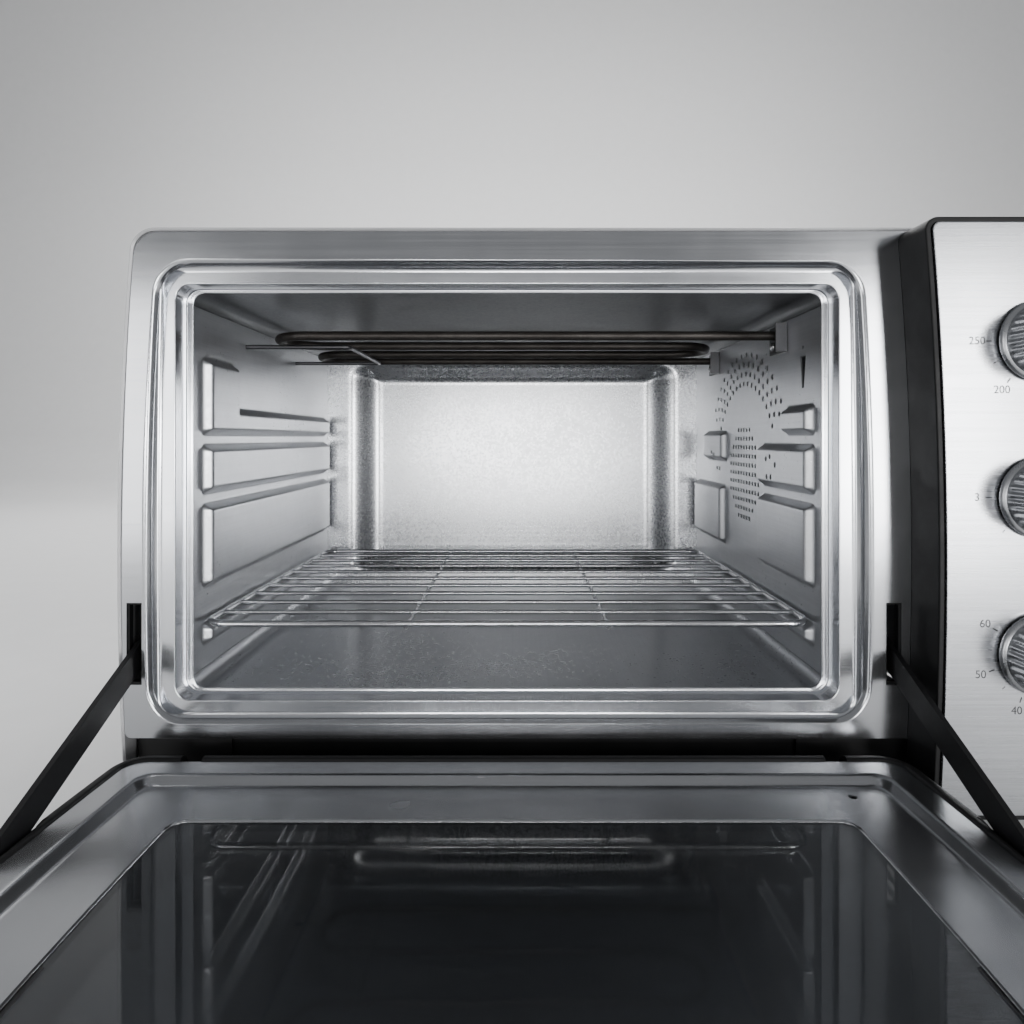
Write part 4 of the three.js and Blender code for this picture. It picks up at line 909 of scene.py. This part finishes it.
def rack_rim():
    corner = 14
    path = []
    for cx, cy, start in (
        (rack_half - corner, rack_y[0] + corner, -math.pi / 2),
        (rack_half - corner, rack_y[1] - corner, 0),
        (corner - rack_half, rack_y[1] - corner, math.pi / 2),
        (corner - rack_half, rack_y[0] + corner, math.pi),
    ):
        for i in range(13):
            angle = start + i / 12 * math.pi / 2
            path.append((cx + corner * math.cos(angle), cy + corner * math.sin(angle), RACK_Z))
    return tube(path, 2.18, 16, closed=True)


rack_parts = [rack_rim()]
for i in range(1, 10):
    y = rack_y[0] + RACK_DEPTH * i / 10
    rack_parts.append(tube([(x, y, RACK_Z + 0.4) for x in (-rack_half, 0, rack_half)], WIRE))
for x in (-rack_half / 3, rack_half / 3):
    rack_parts.append(tube([(x, y, RACK_Z - 2.2) for y in (rack_y[0], 160, rack_y[1])], WIRE))
verts, faces = merged(rack_parts)
rack = to_object("rack_wires", verts, faces, CHROME.material, "rack", merge=1e-8)
sharpen(rack, 50)
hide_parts("wire_rack")


# ---------------------------------------------------------------- outer casing
def arch(inset, steps=36, arc=14):
    top = BODY_TOP - inset
    radius = 15 - inset
    rise = top - radius - CASE_FOOT
    points = []
    for i in range(steps + 1):
        z = CASE_FOOT + rise * i / steps
        points.append((-(LEFT_HALF - inset) - flare(z), z))
    left = points[-1][0] + radius
    for i in range(1, arc + 1):
        angle = math.pi - i / arc * math.pi / 2
        points.append((left + radius * math.cos(angle), top - radius + radius * math.sin(angle)))
    right = RIGHT_HALF - inset + flare(top - radius) - radius
    for i in range(arc + 1):
        angle = math.pi / 2 - i / arc * math.pi / 2
        points.append((right + radius * math.cos(angle), top - radius + radius * math.sin(angle)))
    for i in range(steps - 1, -1, -1):
        z = CASE_FOOT + rise * i / steps
        points.append((RIGHT_HALF - inset + flare(z), z))
    return points


def casing():
    """One bent sheet with a rolled front hem, as a ribbon of stations along its arch."""
    lines = {inset: arch(inset) for inset in (0.0, 0.5, 1.0, 2.0)}
    section = [
        (1.0, BODY_DEPTH),
        (0.0, BODY_DEPTH),
        (0.0, 40),
        (0.0, 1.0),
        (0.5, 0.0),
        (1.0, 0.0),
        (2.0, 0.9),
        (2.0, 12),
        (1.0, 12),
        (1.0, 40),
    ]
    rings = [[place(x, y, z) for x, z in lines[inset]] for inset, y in section]
    count = len(rings[0])
    verts = [p for loop in rings for p in loop]
    faces = []
    total = len(rings)
    for i in range(total):
        n = (i + 1) % total
        for j in range(count - 1):
            faces.append((i * count + j, i * count + j + 1, n * count + j + 1, n * count + j))
    faces.append(tuple(i * count for i in range(total)))
    faces.append(tuple(i * count + count - 1 for i in range(total - 1, -1, -1)))
    obj = to_object("casing_sheet", verts, faces, CASING.material, "oven")
    slots = []
    for i in range(9):
        z = MIDDLE + 20 + i * 12
        loop = round_slot(200, 330, z + 2, 2)
        for xs in ((RIGHT_HALF - 20, RIGHT_HALF + 10), (-LEFT_HALF - 10, 20 - LEFT_HALF)):
            rings = [[place(x, p, q) for p, q in loop] for x in xs]
            slots.append(capped(rings))
    cut(obj, merged(slots))
    level(obj, 40)
    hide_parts("outer_casing")


casing()


def rear_panel():
    outline = [(x, max(z, CASE_FOOT)) for x, z in arch(1.3, 24, 10)]
    rings = [[place(x, y, z) for x, z in outline] for y in (BODY_DEPTH - 3, BODY_DEPTH - 2)]
    verts, faces = capped(rings)
    obj = to_object("rear_sheet", verts, faces, GALVANISED.material, "oven")
    vents = []
    for i in range(10):
        loop = round_slot(RIGHT_HALF - 95, RIGHT_HALF - 35, MIDDLE + 31.75 + i * 9, 1.75)
        rings = [[place(x, y, q) for x, q in loop] for y in (BODY_DEPTH - 6, BODY_DEPTH + 2)]
        vents.append(capped(rings))
    gland = (RIGHT_HALF - 60, 0, CASE_FOOT - 0.3 + 40)
    vents.append(lathe([(9, BODY_DEPTH - 6), (9, BODY_DEPTH + 3)], gland, (0, 1, 0), 32))
    cut(obj, merged(vents))
    level(obj, 30)
    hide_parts("rear_panel")
    y = BODY_DEPTH - 2
    profile = [
        (4, y - 7),
        (8.7, y - 7),
        (8.7, y + 0.3),
        (12.2, y + 0.3),
        (12.7, y + 0.8),
        (12.7, y + 3.2),
        (12.2, y + 3.9),
        (10.6, y + 4.4),
        (9.4, y + 5.5),
        (8.7, y + 7.4),
        (8.0, y + 8),
        (4.4, y + 8),
        (4, y + 7.4),
    ]
    verts, faces = lathe(profile, gland, (0, 1, 0), 40, closed=True)
    bush = to_object("cord_bush", verts, faces, BLACK_PLASTIC.material, "oven")
    sharpen(bush, 45)
    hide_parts("cable_gland")
    places = [(-200, 60), (-200, 190), (-200, 320), (60, 345), (310, 320), (310, 190), (60, 45)]
    for k, (x, z) in enumerate(places):
        at = (x, BODY_DEPTH - 2, z)
        dome_screw(f"rear_screw_{k + 1}", at, (0, 1, 0), 3.4, 1.9, SCREW.material, "oven")


rear_panel()


def feet():
    for name in ("foot_front_left", "foot_front_right", "foot_rear_left", "foot_rear_right"):
        lo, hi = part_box(name)
        x = (lo[0] + hi[0]) * 500 - MID_X
        y = (lo[1] + hi[1]) * 500 - FRONT_Y
        top = hi[2] * 1000
        profile = [
            (4, 0.8), (13.6, 0.8), (14.1, 0), (15, 0), (15.8, 0.5), (16.3, 1.4), (16.7, 4),
            (16.1, 4.6), (16.1, 6.4), (17.1, 7), (18.3, 18.5), (18.9, top - 1.2), (18.5, top),
            (0.01, top),
        ]
        verts, faces = lathe(profile, (x, y, 0), (0, 0, 1), 40)
        obj = to_object(name + "_boot", verts, faces, RUBBER.material, "oven")
        sharpen(obj, 40)
        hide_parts(name)


feet()

# ---------------------------------------------------------------- control fascia
FASCIA = (DOOR_X + DOOR_HALF + 2, RIGHT_HALF, CASE_FOOT, BODY_TOP - 2.5, 8)


def fascia_rings(stations, closed=True):
    """Both uprights of the fascia curve the same way."""
    return profile_rings(stations, 4, lambda x, y, z: place(x + flare(z), y, z), closed, 8, 20)


def fascia():
    stations = [
        (FASCIA, -0.3, 0),
        (FASCIA, -27, 1.2),
        (grow(FASCIA, -1.5), -27, 0.6),
        (grow(FASCIA, -3), -27, 0.5),
        (grow(FASCIA, -3), -0.3, 0),
    ]
    verts, faces = skin(fascia_rings(stations))
    bezel = to_object("fascia_surround", verts, faces, BLACK_PLASTIC.material, "oven")
    level(bezel, 50)
    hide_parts("fascia_bezel")

    inner = grow(FASCIA, -3.3)
    stations = [(inner, -26.5, 0), (inner, -28.5, 0.5), (grow(inner, -1.2), -28.5, 0)]
    loops = fascia_rings(stations, False)
    verts, faces = capped(loops)
    panel = to_object("fascia_face", verts, faces, FASCIA_STEEL.material, "oven")
    lamp_z = MIDDLE - KNOB_PITCH - 44
    tools = [lathe([(4, -40), (4, -20)], (KNOB_X, 0, z), (0, 1, 0), 32) for z in KNOB_Z]
    tools.append(lathe([(4.8, -40), (4.8, -20)], (KNOB_X, 0, lamp_z), (0, 1, 0), 32))
    cut(panel, merged(tools))
    level(panel, 40)
    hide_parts("fascia_panel")

    profile = [
        (0.01, 20.5), (4.5, 20.5), (4.5, 29), (4.2, 29.5), (3.2, 29.65), (1.6, 29.7), (0.01, 29.7),
    ]
    verts, faces = lathe([(r, -h) for r, h in profile], (KNOB_X, 0, lamp_z), (0, 1, 0), 32)
    pilot = to_object("pilot_cap", verts, faces, LENS.material, "oven")
    sharpen(pilot, 45)
    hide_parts("pilot_lens")

    for name, z, ticks in zip(("temperature", "function", "timer"), KNOB_Z, (11, 7, 13)):
        knob(name, z)
        dial(name, z, ticks)


def knob(name, z):
    y = -29.5

    def grip(r, h, angle):
        if -19.5 < h < -6 and r > 15:
            return 0.55 * math.cos(angle * 30) - 0.45
        return 0.0

    profile = [
        (3.4, 0.2), (21.5, 0.2), (22.3, 0.6), (22.5, 1.4), (22.3, 2.6), (21.4, 3.3), (20.4, 3.8),
        (20.1, 5.2), (20.0, 6.4), (19.7, 10), (19.4, 14), (19.1, 18), (18.9, 19.4), (18.4, 20.6),
        (17.6, 21.4), (16.6, 21.9), (15.4, 22), (14.8, 21.6), (0.01, 21.5),
    ]
    turned = [(r, -h) for r, h in profile]
    verts, faces = lathe(turned, (KNOB_X, y, z), (0, 1, 0), 240, wave=grip)
    obj = to_object(f"{name}_grip", verts, faces, KNOB.material, f"{name}_dial")
    cut(obj, lathe([(3.3, -15), (3.3, 4)], (KNOB_X, y, z), (0, 1, 0), 24))
    level(obj, 50)
    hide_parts(f"{name}_knob")
    pointer = block((KNOB_X - 0.9, KNOB_X + 0.9), (y - 24.3, y - 21), (z + 2, z + 16))
    mark = to_object(f"{name}_pointer", *pointer, PRINT.material, f"{name}_dial", smooth=False)
    soften = mark.modifiers.new("edges", "BEVEL")
    soften.width = 0.0004
    soften.segments = 3


def dial(name, z, count):
    """Printed ticks round a knob and plain numbers outside them."""
    parts = []
    sweep = 300 if name == "timer" else 270
    for i in range(count):
        angle = math.radians(90 - sweep * i / (count - 1))
        long_mark = i % 2 == 0
        r0, r1 = 25.2, 28.4 if long_mark else 27.2
        w = 0.35 if long_mark else 0.22
        c, s = math.cos(angle), math.sin(angle)
        loop = []
        for r, side in ((r0, -w), (r1, -w), (r1, w), (r0, w)):
            loop.append((KNOB_X + r * c - side * s, z + r * s + side * c))
        rings = [[place(x, y, q) for x, q in loop] for y in (-28.45, -28.56)]
        parts.append(capped(rings))
    scale = merged(parts)
    to_object(f"{name}_scale", *scale, PRINT.material, "oven", smooth=False, merge=1e-9)
    labels = {
        "temperature": ("0", "50", "100", "150", "200", "250"),
        "timer": ("0", "10", "20", "30", "40", "50", "60"),
        "function": ("0", "1", "2", "3"),
    }[name]
    for i, label in enumerate(labels):
        angle = math.radians(90 - sweep * i / (len(labels) - 1))
        curve = bpy.data.curves.new(f"{name}_number_{i}", "FONT")
        curve.body = label
        curve.size = 0.0062
        curve.extrude = 0.00003
        curve.align_x = "CENTER"
        curve.align_y = "CENTER"
        text = bpy.data.objects.new(f"{name}_number_{i}", curve)
        bpy.context.scene.collection.objects.link(text)
        r = 33.2
        text.matrix_world = Matrix.Translation(
            place(KNOB_X + r * math.cos(angle), -28.53, z + r * math.sin(angle))
        ) @ Matrix.Rotation(math.pi / 2, 4, "X")
        bpy.context.view_layer.update()
        graph = bpy.context.evaluated_depsgraph_get()
        mesh = bpy.data.meshes.new_from_object(text.evaluated_get(graph))
        mesh.transform(text.matrix_world)
        mesh.materials.clear()
        mesh.materials.append(PRINT.material)
        bpy.data.objects.remove(text)
        obj = bpy.data.objects.new(f"{name}_number_{i}", mesh)
        bpy.context.scene.collection.objects.link(obj)
        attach(obj, "oven")


fascia()

# ---------------------------------------------------------------- door
DOOR = (DOOR_X - DOOR_HALF, DOOR_X + DOOR_HALF, -14.5, DOOR_TOP, 24, 1, -HINGE_Z)


def door_spec(inset):
    return grow(DOOR, -inset, -inset, max(24 - inset, 8))


def door_rings(stations, closed=True, steps=5):
    specs = [(door_spec(inset), y, r) for inset, y, r in stations]
    return profile_rings(specs, steps, on_door, closed, 12, 18)


def door():
    face, out = DOOR_FACE, DOOR_OUT
    rim = 14
    stations = [
        (rim, face - 2.4, 0.4),
        (rim - 1.2, face - 0.2, 0.8),
        (9, face, 2.2),
        (4.0, face - 5, 2.5),
        (0.5, face - 14, 2.5),
        (0, face - 20, 2),
        (2.6, out + 1.2, 1.5),
        (8, out, 2),
        (24.5, out, 0.5),
        (24.5, out + 4.5, 0),
        (36, out + 4.5, 0),
        (36, out + 7, 0),
        (rim, out + 7, 0),
    ]
    verts, faces = skin(door_rings(stations))
    surround = to_object("door_surround", verts, faces, BLACK_PLASTIC.material, "door")
    for sign in (-1, 1):
        hx = DOOR_X + sign * 182
        cut(surround, block((hx - 6, hx + 6), (out - 1, face + 1), (-15.5, 8.5), on_door))
        cut(surround, lathe([(2.8, -16), (2.8, 16)], (hx, 0, 0), (1, 0, 0), 24, on_door))
        ax = DOOR_X + sign * ARM_OFFSET
        cut(surround, block((ax - 3.3, ax + 3.3), (3.4, face + 1), (58.5, 104.5), on_door))
        cut(surround, lathe([(2.8, -6.5), (2.8, 6.5)], (ax, 13.4, 92.5), (1, 0, 0), 24, on_door))
    level(surround, 40)
    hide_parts("door_frame")

    low, high = out + 0.2, out + 4.2
    stations = [(24.8, high, 0.6), (24.8, low, 0.6), (28, low, 0)]
    loops = door_rings([(28, high, 0), *stations], False, 4)
    verts, faces = capped(loops)
    glass = to_object("outer_pane", verts, faces, OUTER_GLASS.material, "door")
    level(glass, 40)
    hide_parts("door_outer_glass")

    top = face - 1.4
    drop = top - 4.2
    line = 28.8
    stations = [
        (14.3, top, 0.3),
        (line, top, 2.2),
        (line + 5.0, drop, 2.2),
        (65.2, drop, 0),
        (66, drop - 0.8, 0.5),
        (66, drop - 1, 0),
        (line + 4.4, drop - 1, 0),
        (line - 0.4, top - 1, 0),
        (14.3, top - 1, 0),
    ]
    verts, faces = skin(door_rings(stations, True, 6))
    panel = to_object("door_pressing", verts, faces, PANEL_STEEL.material, "door")
    hx, hz = DOOR[1] - 54.2, DOOR[2] + 44.3
    cut(panel, lathe([(2.2, drop - 3), (2.2, top + 3)], (hx, 0, hz), (0, 1, 0), 24, on_door))
    level(panel, 40)
    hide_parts("door_inner_panel")

    g1 = drop - 1.3
    stations = [(60, g1, 0), (57, g1, 0.6), (57, g1 - 4, 0.6), (60, g1 - 4, 0)]
    verts, faces = capped(door_rings(stations, False, 4))
    inner = to_object("inner_pane", verts, faces, INNER_GLASS.material, "door")
    level(inner, 40)
    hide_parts("door_inner_glass")


HANDLE_DROP = 34


def superellipse(depth, height, power, count=48):
    centre_y = DOOR_OUT - 0.3 - 20 - 4
    centre_z = DOOR_TOP - HANDLE_DROP
    points = []
    for i in range(count):
        angle = i / count * math.pi * 2
        c, s = math.cos(angle), math.sin(angle)
        y = centre_y + depth / 2 * math.copysign(abs(c) ** power, c)
        z = centre_z + height / 2 * math.copysign(abs(s) ** power, s)
        points.append((y, z))
    return points


def handle():
    half = 165
    loops = []
    for x, dy, dz in (
        (-half, 7.2, 19.2),
        (-half + 0.5, 7.8, 19.8),
        (-half + 1, 8, 20),
        (half - 1, 8, 20),
        (half - 0.5, 7.8, 19.8),
        (half, 7.2, 19.2),
    ):
        loops.append([on_door(DOOR_X + x, y, z) for y, z in superellipse(dy, dz, 0.7)])
    rail = capped(loops)
    bar = to_object("handle_rail", *rail, HANDLE_STEEL.material, "door")
    level(bar, 45)
    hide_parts("handle_bar")
    for side, sign in (("left", -1), ("right", 1)):
        x0 = half + 0.3
        loops = []
        for x, dy, dz in (
            (0, 8.2, 20.6),
            (0.6, 8.8, 21.2),
            (12.2, 8.8, 21.2),
            (13.2, 8.2, 20.6),
            (14, 6.8, 19),
        ):
            px = DOOR_X + sign * (x0 + x)
            loops.append([on_door(px, y, z) for y, z in superellipse(dy, dz, 0.7)])
        cap = capped(loops)
        zc = DOOR_TOP - HANDLE_DROP
        y0, y1 = DOOR_OUT - 24.3, DOOR_OUT - 0.3
        loops = []
        for k in range(9):
            t = k / 8
            y = y0 + 3 + (y1 - y0 - 3) * t
            spread = 1.0 * (1 - math.sin(t * math.pi)) ** 2
            a, b = 6.0 + spread - 0.02, 7.0 + spread
            loop = []
            for i in range(24):
                angle = i / 24 * math.pi * 2
                c, s = math.cos(angle), math.sin(angle)
                px = x0 + 7 + a * math.copysign(abs(c) ** 0.5, c)
                pz = zc + b * math.copysign(abs(s) ** 0.5, s)
                loop.append(on_door(DOOR_X + sign * px, y, pz))
            loops.append(loop)
        stem = capped(loops)
        both = merged([cap, stem])
        name = f"handle_stand_{side}"
        post = to_object(name, *both, BLACK_PLASTIC.material, "door", merge=1e-9)
        level(post, 45)
        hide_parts(f"handle_post_{side}")


door()
handle()
finish_node(["door_arm_left", "door_arm_right"], BLACK_STEEL, 0.0004)


# ---------------------------------------------------------------- floor, light and camera
def stage():
    paper = painted("studio paper", (0.86, 0.86, 0.86), 0.8, 300)
    loops = []
    for y, z in ((-4, 0), (2.2, 0), (2.6, 0.06), (2.85, 0.25), (3.0, 0.6), (3.0, 4)):
        loops.append([(-5, y, z), (5, y, z)])
    verts = [Vector(p) for loop in loops for p in loop]
    faces = [(2 * i, 2 * i + 1, 2 * i + 3, 2 * i + 2) for i in range(len(loops) - 1)]
    floor = to_object("studio_floor", verts, faces, paper.material, None)


stage()


def area(name, at, towards, size, power):
    data = bpy.data.lights.new(name, "AREA")
    data.shape = "RECTANGLE"
    data.size, data.size_y = size
    data.energy = power
    obj = bpy.data.objects.new(name, data)
    bpy.context.scene.collection.objects.link(obj)
    obj.location = at
    obj.rotation_euler = (Vector(towards) - Vector(at)).to_track_quat("-Z", "Y").to_euler()


area("left box", (-1.05, -1.25, 0.24), (-0.2, 0, 0.2), (0.5, 0.7), 5)
area("right box", (0.92, -1.3, 0.24), (0.15, 0, 0.2), (0.34, 0.7), 15)
area("front", (-0.05, -1.9, 0.22), (-0.05, 0.2, 0.2), (0.8, 0.2), 10)
area("overhead", (0, 1.0, 2.2), (0, 0.4, 0), (2.4, 1.2), 40)
area("backdrop", (0, 1.4, 1.6), (0, 3, 0.7), (3.0, 0.6), 35)
area("rear", (0.4, 2.4, 1.6), (0, 0.3, 0.2), (1.6, 1.0), 18)

world = bpy.data.worlds.new("studio")
bpy.context.scene.world = world
world.use_nodes = True
background = world.node_tree.nodes["Background"]
background.inputs["Color"].default_value = (0.75, 0.76, 0.78, 1)
background.inputs["Strength"].default_value = 0.36

camera_data = bpy.data.cameras.new("camera")
camera = bpy.data.objects.new("camera", camera_data)
bpy.context.scene.collection.objects.link(camera)
bpy.context.scene.camera = camera
camera.location = place(7.2, LIP - 426, MIDDLE + 32.7)  # 426 mm in front of the lip
camera.rotation_euler = (math.pi / 2, 0, 0)
camera_data.sensor_width = 36
camera_data.lens = 683.6 / 1024 * 36
camera_data.shift_x = (512 - 519) / 1024
camera_data.shift_y = (438 - 512) / 1024
camera_data.clip_start = 0.01
